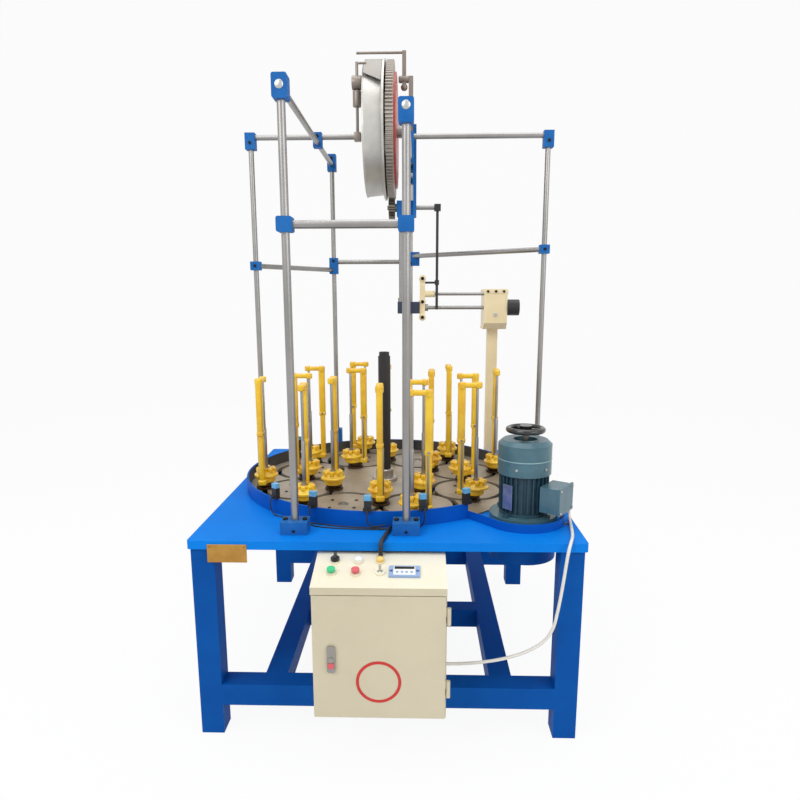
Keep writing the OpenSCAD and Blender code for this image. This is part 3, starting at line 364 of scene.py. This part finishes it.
arrow_blue = material("arrow_blue_plastic", (38, 62, 120), (50, 76, 138))
lamp_white = material("lamp_white_lens", (236, 236, 232), (246, 246, 242), roughness=(0.2, 0.3), coat=0.5)
lamp_yellow = material("lamp_yellow_lens", (232, 194, 96), (242, 206, 112), roughness=(0.2, 0.3), coat=0.5)
button_green = material("button_green", (30, 196, 130), (48, 208, 144), roughness=(0.25, 0.35), coat=0.3)
button_red = material("button_red", (214, 84, 92), (224, 98, 104), roughness=(0.25, 0.35), coat=0.3)
sign_red = material("ring_red_paint", (196, 38, 34), (206, 50, 44), roughness=(0.4, 0.5))
fitting_metal = material("satin_fitting", (180, 180, 178), (198, 198, 196), metallic=0.9,
                         roughness=(0.25, 0.4))
sheet_metal = material("guide_sheet_metal", (146, 142, 136), (166, 162, 156), metallic=0.3,
                       roughness=(0.45, 0.6), specular=0.3)
guide_metal = material("guide_grey_paint", (128, 118, 110), (150, 140, 130), metallic=0.4)
fence_dark = material("oily_fence_inside", (52, 54, 58), (78, 78, 80), drift=9, roughness=(0.35, 0.55))
housing_navy = material("housing_navy_paint", (22, 34, 58), (34, 48, 76), drift=14, coat=0.2)
plate_blue = material("rating_plate_metal", (112, 122, 158), (150, 158, 184), metallic=0.6, drift=40)
brass = material("brass_plate", (168, 122, 58), (196, 150, 78), metallic=0.85, drift=26,
                 roughness=(0.3, 0.48))
screw_black = material("black_oxide_screw", (26, 26, 28), (42, 42, 44), metallic=0.6, roughness=(0.3, 0.45))
cable_cream = material("cream_cable_sheath", (226, 222, 212), (234, 231, 222), roughness=(0.45, 0.6))
cable_black = material("black_conduit", (24, 24, 26), (36, 36, 38), roughness=(0.45, 0.6))
print(len(bpy.data.materials), "finishes")

# %% [markdown]
# The solids that already have the right shape only need their finish. The cables get
# theirs here too.

# %% Finish the solids


def finish(names, look):
    for name in names:
        mesh = nodes[name].data
        mesh.materials.clear()
        mesh.materials.append(look)


HORNS = [f"horn_gear_{k}" for k in range(1, 9)]
finish(["table_top"], table_blue)
finish(["base_frame", "gear_pan"], frame_blue)
finish(["ring_wall"], fence_blue)
finish(["post_blocks", "rod_clamps", "take_up_bracket"], clamp_blue)
finish(["fan_cowl", "terminal_box"], motor_teal)
finish(["motor_frame"], fin_teal)
finish(["track_plate", "gear_studs"], deck_steel)
finish(HORNS + ["idler_gear", "motor_shaft", "wheel_pinion"], gear_steel)
finish(["main_posts", "frame_rods", "upright_shaft", "drive_shaft"], chrome)
finish(["core_tube", "hanger_rod"], black_paint)
finish(["take_up_wheel"], drum_metal)
finish(["wheel_gear"], gear_grey)
finish(["gearbox_case", "gearbox_column", "shaft_hanger"], cream)
finish(["control_cabinet", "cabinet_door", "door_hinges"], cabinet_cream)
finish(["sensor_posts", "selector_knob"], black_plastic)
finish(["sensor_heads"], sensor_blue)
finish(["handwheel"], black_gloss)
finish(["counter_meter"], counter_blue)
finish(["toggle_lever"], fitting_metal)
finish(["panel_fittings"], panel_cream)
finish(["door_lock"], sheet_metal)
finish(["start_button"], button_green)
finish(["stop_button"], button_red)
finish(["pressure_lever"], guide_metal)
motor_cable.data.materials.append(cable_cream)
for cord in [loom] + wires:
    cord.data.materials.append(cable_black)
print("finished", len(nodes), "solids")

# %% [markdown]
# Some solids carry two finishes, such as the take-up bracket with its bare axle. The
# second is given to the faces that lie in a stated part of the machine.

# %% Second finishes
FLANGE_TOP = 0.6215
GEAR_END = 0.0005
PLATE_LEFT, PLATE_RIGHT = 0.066, 0.0785
AXLE_HEIGHT, AXLE_REACH = 1.841, 0.026
LEVER_POST_FOOT, LEVER_POST_LEFT, LEVER_POST_BACK = 1.754, 0.045, 0.348
LEVER_PIN_FOOT = 1.98
DRIVE_HUB_LEFT = 0.4221
BEVEL_HOUSING_RIGHT = 0.0919
TIE_ROD_LEFT = 0.1495
PANEL_FOOT = 0.527
DECK = (-0.033, 0.132)
FENCE_INSIDE = 0.4825


def finish_part(name, look, inside):
    """Gives look to the faces of a solid whose middle passes the test."""
    mesh = nodes[name].data
    mesh.materials.append(look)
    index = len(mesh.materials) - 1
    for face in mesh.polygons:
        if inside(face.center):
            face.material_index = index


def on_axle(c):
    return c.x < PLATE_LEFT - 0.001 and abs(c.z - AXLE_HEIGHT) < AXLE_REACH


def on_lever_post(c):
    beside_plate = LEVER_POST_LEFT < c.x < PLATE_LEFT and c.y < LEVER_POST_BACK
    return c.z > LEVER_PIN_FOOT or (c.z > LEVER_POST_FOOT and beside_plate)


finish_part("wheel_gear", disc_red, lambda c: c.x > GEAR_END)
finish_part("take_up_bracket", chrome, on_axle)
finish_part("take_up_bracket", guide_metal, on_lever_post)
finish_part("take_up_bracket", chrome, lambda c: c.x > PLATE_RIGHT)
finish_part("motor_frame", motor_teal, lambda c: c.z < FLANGE_TOP)
finish_part("drive_shaft", black_paint, lambda c: c.x > DRIVE_HUB_LEFT)
finish_part("shaft_hanger", housing_navy, lambda c: c.x < BEVEL_HOUSING_RIGHT)
finish_part("shaft_hanger", chrome, lambda c: c.x > TIE_ROD_LEFT)
finish_part("control_cabinet", panel_cream, lambda c: c.z > PANEL_FOOT)
finish_part("ring_wall", fence_dark, lambda c: math.hypot(c.x - DECK[0], c.y - DECK[1]) < FENCE_INSIDE)
print("second finishes given")

# %% [markdown]
# Small pieces are modelled the way one would by hand: add a block, rod or turned outline
# at its size and place, then round its edges. These helpers start a piece with nothing
# else selected and leave its place in its own mesh.

# %% Modelling helpers
SHARP = math.radians(35)


def start():
    if bpy.context.object and bpy.context.object.mode != "OBJECT":
        bpy.ops.object.mode_set(mode="OBJECT")
    bpy.ops.object.select_all(action="DESELECT")


def settle(name):
    """Names the piece just added and puts its place into its mesh."""
    piece = bpy.context.object
    piece.name = name
    bpy.ops.object.transform_apply(location=True, rotation=True, scale=True)
    return piece


def round_edges(piece, width, segments=2):
    start()
    piece.select_set(True)
    bpy.context.view_layer.objects.active = piece
    bpy.ops.object.modifier_add(type="BEVEL")
    bevel = piece.modifiers[-1]
    bevel.width, bevel.segments = width, segments
    bevel.limit_method, bevel.angle_limit = "ANGLE", SHARP
    bpy.ops.object.modifier_apply(modifier=bevel.name)
    bpy.ops.object.shade_smooth_by_angle(angle=SHARP)
    return piece


def block(name, low, high, edge=0.001, segments=2):
    start()
    low, high = Vector(low), Vector(high)
    bpy.ops.mesh.primitive_cube_add(size=1, location=(low + high) / 2, scale=high - low)
    return round_edges(settle(name), edge, segments)


def rod(name, begin, end, radius, sides=24, edge=0.0008, segments=2):
    start()
    begin, end = Vector(begin), Vector(end)
    run = end - begin
    bpy.ops.mesh.primitive_cylinder_add(vertices=sides, radius=radius, depth=run.length,
                                        location=(begin + end) / 2,
                                        rotation=run.to_track_quat("Z", "Y").to_euler())
    return round_edges(settle(name), edge, segments)


def turned(name, outline, steps=40):
    """Turns an outline of (radius, height) points about the upright axis."""
    start()
    bpy.ops.mesh.primitive_plane_add(size=0.001)
    piece = settle(name)
    bpy.ops.object.mode_set(mode="EDIT")
    bpy.ops.mesh.select_all(action="SELECT")
    bpy.ops.mesh.merge(type="CENTER")
    here = (outline[0][0], 0, outline[0][1])
    bpy.ops.transform.translate(value=here)
    for radius, height in outline[1:]:
        move = (radius - here[0], 0, height - here[2])
        bpy.ops.mesh.extrude_region_move(TRANSFORM_OT_translate={"value": move})
        here = (radius, 0, height)
    bpy.ops.mesh.select_all(action="SELECT")
    bpy.ops.mesh.spin(steps=steps, angle=2 * math.pi, center=(0, 0, 0), axis=(0, 0, 1))
    bpy.ops.mesh.select_all(action="SELECT")
    bpy.ops.mesh.remove_doubles(threshold=0.00002)
    bpy.ops.mesh.normals_make_consistent(inside=False)
    bpy.ops.object.mode_set(mode="OBJECT")
    bpy.ops.object.shade_smooth_by_angle(angle=SHARP)
    return piece


def copy_to(piece, name, place):
    """A copy with its own mesh, moved by a matrix. A mirrored copy has its faces turned out again."""
    made = piece.copy()
    made.data = piece.data.copy()
    made.name = name
    made.data.transform(place)
    if place.determinant() < 0:
        made.data.flip_normals()
    bpy.context.scene.collection.objects.link(made)
    return made


def join(name, pieces):
    start()
    for piece in pieces:
        piece.select_set(True)
    bpy.context.view_layer.objects.active = pieces[0]
    if len(pieces) > 1:
        bpy.ops.object.join()
    pieces[0].name = name
    return pieces[0]


def add(piece, look, body, slot, *stands_for):
    """Gives a piece its finish and the body it moves with, and hides the nodes it stands for. slot is not
    used.
    """
    piece.data.materials.clear()
    piece.data.materials.append(look)
    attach(piece, body)
    if stands_for:
        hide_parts(*stands_for)


def drop(*patterns):
    for pattern in patterns:
        bpy.data.objects.remove(pattern)


def moved(x, y, z=0.0):
    return Matrix.Translation((x, y, z))


def turn(angle):
    """A turn about the upright axis, in degrees."""
    return Matrix.Rotation(math.radians(angle), 4, "Z")


def turn_to(normal):
    return Vector(normal).to_track_quat("Z", "Y").to_matrix().to_4x4()


print("helpers ready")

# %% [markdown]
# A carrier holds one bobbin. On the real machine it is a yellow casting with a star-shaped
# ratchet seat, a column and a top arm, standing on a dark foot that runs in the track. The
# foot's dark brown also paints the shadow under the seat. It is modelled once, standing on
# the deck with its foot at the origin. Foot, casting and bright steel are three shapes,
# because they have three finishes.

# %% One carrier
SPINDLE_Y = 0.014
COLUMN_Y = -0.036
CARRIER_TOP = 0.385
FOOT_H = 0.020
SEAT_Z = 0.040
HINGE_Z = SEAT_Z + 0.160
ARM_Z = CARRIER_TOP - 0.013
SEAT_TEETH = 8

foot = turned("foot", [
    (0, -0.023), (0.007, -0.023), (0.007, 0.0003), (0.029, 0.0003), (0.031, 0.002), (0.031, 0.006),
    (0.029, 0.0075), (0.019, 0.0085), (0.019, 0.0115), (0.026, 0.0125), (0.028, 0.014), (0.028, 0.0185),
    (0.026, FOOT_H), (0, FOOT_H)], 32)

base = block("base", (-0.014, COLUMN_Y - 0.012, FOOT_H), (0.014, SPINDLE_Y + 0.012, SEAT_Z), 0.006, 3)
seat = turned("seat", [
    (0, SEAT_Z), (0.034, SEAT_Z), (0.041, SEAT_Z + 0.002), (0.041, SEAT_Z + 0.007), (0.039, SEAT_Z + 0.009),
    (0.036, SEAT_Z + 0.010), (0.033, SEAT_Z + 0.016), (0.031, SEAT_Z + 0.020), (0, SEAT_Z + 0.020)], 32)
seat.data.transform(moved(0, SPINDLE_Y))
pot = turned("pot", [
    (0, 0.0205), (0.026, 0.0205), (0.030, 0.023), (0.032, 0.030), (0.030, 0.036), (0.033, 0.041),
    (0, 0.041)], 32)
pot.data.transform(moved(0, SPINDLE_Y - 0.004))
tooth = block("tooth", (0.011, -0.0068, SEAT_Z + 0.015), (0.0345, 0.0068, SEAT_Z + 0.030), 0.0030, 2)
teeth = [copy_to(tooth, f"tooth_{i}", moved(0, SPINDLE_Y) @ turn(i * 360 / SEAT_TEETH))
         for i in range(SEAT_TEETH)]
drop(tooth)
column_low = block("column_low", (-0.0090, COLUMN_Y - 0.0095, SEAT_Z - 0.002),
                   (0.0090, COLUMN_Y + 0.0095, HINGE_Z + 0.002), 0.003, 3)
column_high = block("column_high", (-0.010, COLUMN_Y - 0.012, HINGE_Z - 0.002),
                    (0.010, COLUMN_Y + 0.012, ARM_Z + 0.004), 0.005, 3)
collar = block("collar", (-0.011, COLUMN_Y - 0.013, HINGE_Z - 0.008),
               (0.011, COLUMN_Y + 0.013, HINGE_Z + 0.008), 0.003, 2)
arm = block("arm", (-0.0095, COLUMN_Y - 0.011, ARM_Z - 0.002),
            (0.0095, SPINDLE_Y + 0.014, CARRIER_TOP + 0.001), 0.006, 3)
head = rod("head", (0, COLUMN_Y, ARM_Z - 0.008), (0, COLUMN_Y, CARRIER_TOP + 0.003), 0.0130, 24, 0.005, 3)
eye = rod("eye", (0, SPINDLE_Y + 0.004, ARM_Z - 0.004), (0, SPINDLE_Y + 0.004, CARRIER_TOP + 0.003),
          0.0115, 24, 0.004, 3)
carrier_body = join("carrier_body", [base, pot, seat] + teeth
                    + [column_low, column_high, collar, arm, head, eye])

spindle = rod("spindle", (0, SPINDLE_Y, SEAT_Z + 0.010), (0, SPINDLE_Y, ARM_Z + 0.002), 0.0045, 16, 0.0005)
ferrule = turned("ferrule", [
    (0, SEAT_Z + 0.014), (0.010, SEAT_Z + 0.014), (0.008, SEAT_Z + 0.034), (0, SEAT_Z + 0.036)], 20)
ferrule.data.transform(moved(0, SPINDLE_Y))
spring_rod = rod("spring_rod", (0.010, COLUMN_Y + 0.002, SEAT_Z - 0.004),
                 (0.010, COLUMN_Y + 0.002, HINGE_Z - 0.008), 0.003, 12, 0.0005)
pivot = rod("pivot", (-0.0125, COLUMN_Y, HINGE_Z + 0.001), (0.0125, COLUMN_Y, HINGE_Z + 0.001),
            0.0045, 16, 0.001)
sleeve = rod("sleeve", (0, SPINDLE_Y, SEAT_Z + 0.014), (0, SPINDLE_Y, SEAT_Z + 0.170), 0.0065, 20, 0.0015)
carrier_steel = join("carrier_steel", [spindle, sleeve, ferrule, spring_rod, pivot])
print("carrier body has", len(carrier_body.data.polygons), "faces")

# %% [markdown]
# The copies stand two to a gear, on opposite sides. Neighbouring gears turn opposite ways,
# so every second gear's carriers are mirrored, with the spindle always in front of the
# column. Each pair rides on its own gear.

# %% Sixteen carriers
GEARS = 8
GEAR_STEP = 360 / GEARS
HORN_R = 0.120
EVEN_START, ODD_START = 112.5, -22.5
CARRIER_TURN = 2
CARRIER_SHAPES = ((foot, "foot", foot_brown_and_shadow, "gear_steel"),
                  (carrier_body, "body", yellow, "carrier_yellow"),
                  (carrier_steel, "steel", chrome, "rod_chrome"))
MIRROR = Matrix.Scale(-1, 4, (0, 1, 0))

places = {j["name"]: j["pos_m"] for j in frame["joints"] if "pos_m" in j}
deck_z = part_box("track_plate")[1].z
gear_spots = [Vector((*places[f"horn_{k + 1}_turn"][:2], deck_z)) for k in range(GEARS)]
for k, spot in enumerate(gear_spots):
    odd = k % 2 == 1
    first = GEAR_STEP * (k - 0.5) + (ODD_START - CARRIER_TURN if odd else EVEN_START + CARRIER_TURN)
    for shape, part, look, slot in CARRIER_SHAPES:
        pair = []
        for side in (0, 180):
            place = moved(*spot) @ turn(first + side) @ moved(HORN_R, 0)
            pair.append(copy_to(shape, f"{part}_{k}_{side}", place @ MIRROR if odd else place))
        add(join(f"carrier_{part}_{k + 1}", pair), look, f"horn_{k + 1}", slot, f"carriers_{k + 1}")
drop(foot, carrier_body, carrier_steel)
print("two carriers on each of", len(gear_spots), "gears")

# %% [markdown]
# Screws tell the eye that a block is clamped and not glued. One socket screw is turned as
# an outline with its recess, and copied to the feet of the posts, the clamps, the motor
# and the deck, each lying on the face that carries it.

# %% Screws
UP, FRONT = (0, 0, 1), (0, -1, 0)
SCREW_R = 0.0065
POST_LEFT, POST_RIGHT = -262, 54
OUTER_LEFT, OUTER_RIGHT = -495, 529
POST_Y, OUTER_Y, REAR_Y = -470, 150, 520
FOOT_TOP = 631
PIN_Z = 607
CLAMP_HALF, CROSS_BLOCK_HALF = 17, 15
CLAMPS = [
    (OUTER_LEFT, OUTER_Y, 1774, CLAMP_HALF), (OUTER_RIGHT, OUTER_Y, 1774, CLAMP_HALF),
    (OUTER_LEFT, OUTER_Y, 1362, CLAMP_HALF), (OUTER_RIGHT, OUTER_Y, 1416, CLAMP_HALF),
    (POST_LEFT, REAR_Y, 1398, CLAMP_HALF), (POST_RIGHT, REAR_Y, 1388, CLAMP_HALF),
    (POST_LEFT, REAR_Y, 1797, CLAMP_HALF), (POST_RIGHT, REAR_Y, 1704, CLAMP_HALF),
    (POST_LEFT, OUTER_Y, 1795, CROSS_BLOCK_HALF), (POST_RIGHT, OUTER_Y, 1760, CROSS_BLOCK_HALF)]
DECK_SCREW_R = 0.055
DECK_SCREW_SINK = 0.0035

screw = turned("socket_screw", [
    (0, 0.0005), (0.003, 0.0005), (0.003, 0.006), (SCREW_R - 0.0008, 0.006), (SCREW_R, 0.0052),
    (SCREW_R, -0.002), (0, -0.002)], 20)


def screws(name, spots, look, slot, size=1.0):
    """Screws on the fixed frame. spots holds the place and the outward direction of each."""
    made = [copy_to(screw, f"{name}_{i}", Matrix.Translation(p) @ turn_to(n) @ Matrix.Scale(size, 4))
            for i, (p, n) in enumerate(spots)]
    add(join(name, made), look, "frame", slot)


foot_spots = [(row(x + s * 28, POST_Y, FOOT_TOP), UP) for x in (POST_LEFT, POST_RIGHT) for s in (-1, 1)]
screws("post_foot_screws", foot_spots, screw_black, "black_plastic", 1.1)
pin_spots = [(row(x, POST_Y - 30, PIN_Z), FRONT) for x in (POST_LEFT, POST_RIGHT)]
screws("post_foot_pins", pin_spots, screw_black, "black_plastic", 0.6)
clamp_spots = [(row(x, y - half, z), FRONT) for x, y, z, half in CLAMPS]
screws("clamp_screws", clamp_spots, screw_black, "black_plastic", 0.8)
deck_spots = [(spot + turn(45 + 90 * i) @ Vector((DECK_SCREW_R, 0, -DECK_SCREW_SINK)), UP)
              for spot in gear_spots for i in range(4)]
screws("deck_screws", deck_spots, screw_black, "deck_steel", 0.9)
print("screws on posts, clamps and deck")

# %% [markdown]
# The ends of the two long rods show on the head blocks as bright buttons. The middle of
# each deck disc gets a turned cap in the same way.

# %% Turned caps
LONG_RODS = ((POST_LEFT, 1772), (POST_RIGHT, 1721))

button = turned("rod_button", [(0, 0.003), (0.008, 0.003), (0.011, 0.001), (0.011, -0.001), (0, -0.001)], 28)
ends = [copy_to(button, f"end_{i}", Matrix.Translation(row(x, POST_Y - 20, z)) @ turn_to(FRONT))
        for i, (x, z) in enumerate(LONG_RODS)]
add(join("rod_end_buttons", ends), fitting_metal, "frame", "fitting_metal")
hub = turned("gear_cap", [
    (0, 0.006), (0.009, 0.006), (0.010, 0.003), (0.017, 0.002), (0.019, 0), (0.019, -0.001), (0, -0.001)], 28)
caps = [copy_to(hub, f"cap_{k}", moved(*spot)) for k, spot in enumerate(gear_spots)]
add(join("deck_caps", caps), gear_steel, "frame", "deck_steel")
drop(button, hub)
print("caps on the deck and the rod ends")

# %% [markdown]
# The collar under the black tube is knurled. A turned ring gives its body, and a ring of
# thin upright ribs, one rib copied round, gives the grip that catches the light.

# %% Knurled collar
COLLAR_R = 0.031
COLLAR_BORE = 0.0216
RIBS = 48

tube_low, tube_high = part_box("core_tube")
ring = turned("ring", [
    (COLLAR_BORE, 0.0), (0.044, 0.0), (0.045, 0.002), (0.045, 0.010), (0.043, 0.012), (0.030, 0.012),
    (0.030, 0.040), (0.028, 0.042), (COLLAR_BORE, 0.042), (COLLAR_BORE, 0.0)], 48)
rib = block("rib", (COLLAR_R - 0.002, -0.0012, 0.015), (COLLAR_R, 0.0012, 0.039), 0.0005, 1)
ribs = [copy_to(rib, f"rib_{i}", turn(i * 360 / RIBS)) for i in range(RIBS)]
drop(rib)
knurled_collar = join("knurled_collar", [ring] + ribs)
knurled_collar.data.transform(moved((tube_low.x + tube_high.x) / 2, (tube_low.y + tube_high.y) / 2, deck_z))
add(knurled_collar, collar_steel, "frame", "collar_steel", "core_collar")
print("collar with", len(ribs), "ribs")

# %% [markdown]
# On the motor there are a bare rating plate, a pale ring that paints the highlight along
# the top edge of the cowl, screws round the cowl, and screws on the lid of the terminal
# box. They sit on the casing, turned with it.

# %% Motor details
BODY_R = 0.073
COWL_R = 0.0785
COWL_SCREW_Z = 0.765
COWL_SCREW_ANGLES = (-115, -50, 25, 90, 155)
HIGHLIGHT_IN = 0.0755
PLATE_ANGLE = -138
BOX_ANGLE = -35
LID_X = 0.134

motor_at = moved(*places["motor_turn"][:2])


def on_motor(angle, radius, side, z):
    """A place on the motor and the direction that looks outward there."""
    return motor_at @ turn(angle) @ Vector((radius, side, z)), turn(angle) @ Vector((1, 0, 0))


cowl_spots = [on_motor(a, COWL_R, 0, COWL_SCREW_Z) for a in COWL_SCREW_ANGLES]
screws("cowl_screws", cowl_spots, fitting_metal, "fitting_metal", 0.6)
# A thin pale ring round the cowl's top edge, a little proud of it: a painted highlight.
highlight_ring = turned("cowl_bead", [
    (HIGHLIGHT_IN, 0.7850), (0.0790, 0.7855), (0.0796, 0.7870), (0.0790, 0.7885), (HIGHLIGHT_IN, 0.7890),
    (HIGHLIGHT_IN, 0.7850)], 64)
highlight_ring.data.transform(motor_at)
add(highlight_ring, highlight_teal, "frame", "motor_teal")
plate = block("rating_plate", (BODY_R - 0.001, -0.017, 0.642), (BODY_R + 0.0012, 0.017, 0.716), 0.0006, 1)
plate.data.transform(motor_at @ turn(PLATE_ANGLE))
add(plate, plate_blue, "frame", "fitting_metal")
lid_spots = [on_motor(BOX_ANGLE, LID_X, side, z) for side in (-0.041, 0.041) for z in (0.650, 0.714)]
screws("box_screws", lid_spots, fitting_metal, "fitting_metal", 0.55)
print("motor details")

# %% [markdown]
# The gearbox has a lid with three bolts and a filler plug, and the arm beside it has three
# round bosses with black bolts, where the shafts' bearings are clamped.

# %% Gearbox details
AXLE_Y = 292
SHAFT_Z = 1212
LID_FRONT = 267.5
HANGER_X = 102
BOSS_FRONT = AXLE_Y - 15
BOSSES = (SHAFT_Z - 36, SHAFT_Z + 22, SHAFT_Z + 108)

gear_lid = block("gearbox_lid", row(332.5, LID_FRONT, 1263), row(424.5, 400.5, 1281), 0.003, 2)
add(gear_lid, cream, "frame", "gearbox_cream")
lower = block("gearbox_foot", row(333, 300, 1130), row(424, 400, 1140), 0.002, 2)
add(lower, cream, "frame", "gearbox_cream")
lid_bolts = [(row(x, LID_FRONT, 1272), FRONT) for x in (348, 378, 408)]
screws("lid_bolts", lid_bolts, screw_black, "black_plastic", 0.75)
screws("filler_plug", [(row(378, 270, 1186), FRONT)], fitting_metal, "fitting_metal", 1.1)
bosses = [rod(f"boss_{i}", row(HANGER_X, BOSS_FRONT, z), row(HANGER_X, AXLE_Y + 13, z), 0.0135, 24, 0.002)
          for i, z in enumerate(BOSSES)]
add(join("hanger_bosses", bosses), cream, "frame", "gearbox_cream")
hanger_bolts = [(row(HANGER_X, BOSS_FRONT, z), FRONT) for z in BOSSES]
screws("hanger_bolts", hanger_bolts, screw_black, "black_plastic", 1.0)
print("lid, plug and bosses")

# %% [markdown]
# The rope guide stands on the end of the left cross rod: a clamp block, a thin post with a
# sleeve and a roller, and a bent sheet over the drum. The sheet is a grid whose points are
# laid on a circle round the drum's axle, with a slanting lower edge.

# %% Rope guide
GUIDE_X = -124
CROSS_Z = 1793
AXLE_Z = 1841
ROLLER_Z = CROSS_Z + 172
HOLDER_Z = CROSS_Z + 234
SHEET_R = 231.5
SHEET_T = 0.003
SHEET_LEFT, SHEET_RIGHT = -100, -40
LOW_LEFT, LOW_RIGHT = 144, 115
SHEET_END = 40


def at_guide(along, z, forward=0):
    return row(GUIDE_X + along, OUTER_Y + forward, z)


clamp = block("guide_clamp", at_guide(-12, CROSS_Z - 14, -14), at_guide(12, CROSS_Z + 14, 14), 0.002)
post = rod("guide_post", at_guide(0, CROSS_Z + 12), at_guide(0, HOLDER_Z + 4), 0.005, 20)
sleeve = rod("guide_sleeve", at_guide(0, CROSS_Z + 96), at_guide(0, CROSS_Z + 146), 0.015, 28, 0.002)
roller = rod("guide_roller", at_guide(-17, ROLLER_Z), at_guide(17, ROLLER_Z), 0.023, 36, 0.003)
holder = rod("guide_holder", at_guide(0, HOLDER_Z), at_guide(32, HOLDER_Z), 0.004, 16)
stand = join("guide_stand", [clamp, post, sleeve, roller, holder])
add(stand, guide_metal, "frame", "guide_metal", "rope_guide")

start()
bpy.ops.mesh.primitive_grid_add(x_subdivisions=6, y_subdivisions=28, size=1)
sheet = settle("guide_sheet")
for point in sheet.data.vertices:
    across, up = point.co.x + 0.5, point.co.y + 0.5
    low = LOW_LEFT + across * (LOW_RIGHT - LOW_LEFT)
    first, last = math.acos(low / SHEET_R), math.asin(SHEET_END / SHEET_R)
    lean = first + up * (last - first)
    point.co = row(SHEET_LEFT + across * (SHEET_RIGHT - SHEET_LEFT), AXLE_Y - SHEET_R * math.sin(lean),
                   AXLE_Z + SHEET_R * math.cos(lean))
bpy.ops.object.modifier_add(type="SOLIDIFY")
sheet.modifiers[-1].thickness, sheet.modifiers[-1].offset = SHEET_T, 0
bpy.ops.object.modifier_apply(modifier=sheet.modifiers[-1].name)
bpy.ops.object.shade_smooth_by_angle(angle=SHARP)
add(sheet, sheet_metal, "frame", "guide_metal", "rope_guide")
print("rope guide with a sheet of", len(sheet.data.polygons), "faces")

# %% [markdown]
# The cabinet's front carries a lock with a red push, and a plain red ring painted on the
# door. The ring is a thin turned washer that stands a hair proud of the sheet.

# %% Cabinet front
RING_AT = (-0.0145, 0.266)
RING_R = 0.0593
RING_IN = RING_R - 0.008
PAINT_T = 0.0006
PUSH_HALF = 0.008
PUSH_LOW, PUSH_HIGH = 0.307, 0.322

door_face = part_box("cabinet_door")[0].y
ring = turned("door_ring", [
    (RING_IN, 0.0), (RING_IN, PAINT_T), (RING_R, PAINT_T), (RING_R, 0.0), (RING_IN, 0.0)], 64)
ring.data.transform(moved(RING_AT[0], door_face, RING_AT[1]) @ turn_to(FRONT))
add(ring, sign_red, "door", "button_red")
lock_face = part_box("door_lock")[0].y
lock_x = places["lock_turn"][0]
push = block("lock_push", (lock_x - PUSH_HALF, lock_face + 0.001, PUSH_LOW),
             (lock_x + PUSH_HALF, lock_face + 0.0045, PUSH_HIGH), 0.001, 2)
add(push, button_red, "lock", "button_red")
print("ring and lock push")

# %% [markdown]
# The sloping panel has two signal lamps, four controls and a counter. Each lamp gets a
# domed lens. The counter is a blue frame with a white window, four plain keys and a dark
# display with nothing on it, between two plain arrows.

# %% Control panel
PANEL_BACK_Y, PANEL_BACK_Z = -552, 562
PANEL_FRONT_Y, PANEL_FRONT_Z = -690, 528
SLOPE = math.atan2(PANEL_BACK_Z - PANEL_FRONT_Z, PANEL_BACK_Y - PANEL_FRONT_Y)
LAMPS = (("white_lamp", -72, lamp_white), ("yellow_lamp", -14, lamp_yellow))
LAMP_DOWN = 34
COUNTER_X, COUNTER_DOWN = 52, 78
KEYS = 4
KEY_PITCH = 0.0124
ARROW_X = 0.0345


def on_panel(x, down):
    """The panel's own axes at a place given in millimetres from its back edge."""
    back_edge = Matrix.Translation(row(x, PANEL_BACK_Y, PANEL_BACK_Z))
    return back_edge @ Matrix.Rotation(SLOPE, 4, "X") @ moved(0, -down * MM)


lens = turned("lens", [
    (0, 0.016), (0.004, 0.0157), (0.008, 0.0145), (0.0108, 0.0125), (0.0112, 0.010), (0.0112, 0.004),
    (0, 0.004)], 32)
for name, x, look in LAMPS:
    add(copy_to(lens, name, on_panel(x, LAMP_DOWN)), look, "frame", "fitting_metal")
drop(lens)
counter = on_panel(COUNTER_X, COUNTER_DOWN)
window = block("counter_window", (-0.029, -0.018, 0.0055), (0.029, 0.016, 0.0085), 0.001, 2)
window.data.transform(counter)
add(window, lamp_white, "frame", "fitting_metal")
display = block("counter_display", (-0.026, 0.004, 0.008), (0.026, 0.014, 0.0095), 0.0006, 1)
display.data.transform(counter)
add(display, black_gloss, "frame", "black_plastic")
key = rod("key", (0, 0, 0.008), (0, 0, 0.0102), 0.0036, 20, 0.0006)
keys = [copy_to(key, f"key_{i}", counter @ moved((i - (KEYS - 1) / 2) * KEY_PITCH, -0.009))
        for i in range(KEYS)]
start()
bpy.ops.mesh.primitive_cylinder_add(vertices=3, radius=0.006, depth=0.002, location=(0, 0, 0.0062))
arrow = round_edges(settle("arrow"), 0.0004, 1)
arrows = [copy_to(arrow, f"arrow_{s}", counter @ moved(s * ARROW_X, 0) @ turn(-90 * s)) for s in (-1, 1)]
drop(key, arrow)
add(join("counter_arrows", arrows), arrow_blue, "frame", "counter_blue")
add(join("counter_keys", keys), counter_blue, "frame", "counter_blue")
print("panel with lamps and counter")

# %% [markdown]
# A bare brass plate is riveted to the front lip on the left, and a black rubber-edged slot
# lies in the table beside the motor.

# %% Plate and slot
PLATE_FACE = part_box("table_top")[0].y - 0.002

plate = block("brass_blank_plate", (-0.493, PLATE_FACE, 0.534), (-0.383, PLATE_FACE + 0.002, 0.586),
              0.0006, 1)
add(plate, brass, "frame", "fitting_metal")
rivets = [(Vector((x, PLATE_FACE, 0.580)), FRONT) for x in (-0.486, -0.390)]
screws("plate_rivets", rivets, brass, "fitting_metal", 0.45)
table_slot = block("table_slot", row(500, -397, 594), row(530, -383, 597), 0.0015, 2)
add(table_slot, black_plastic, "frame", "black_plastic")
drop(screw)
print("plate and slot")
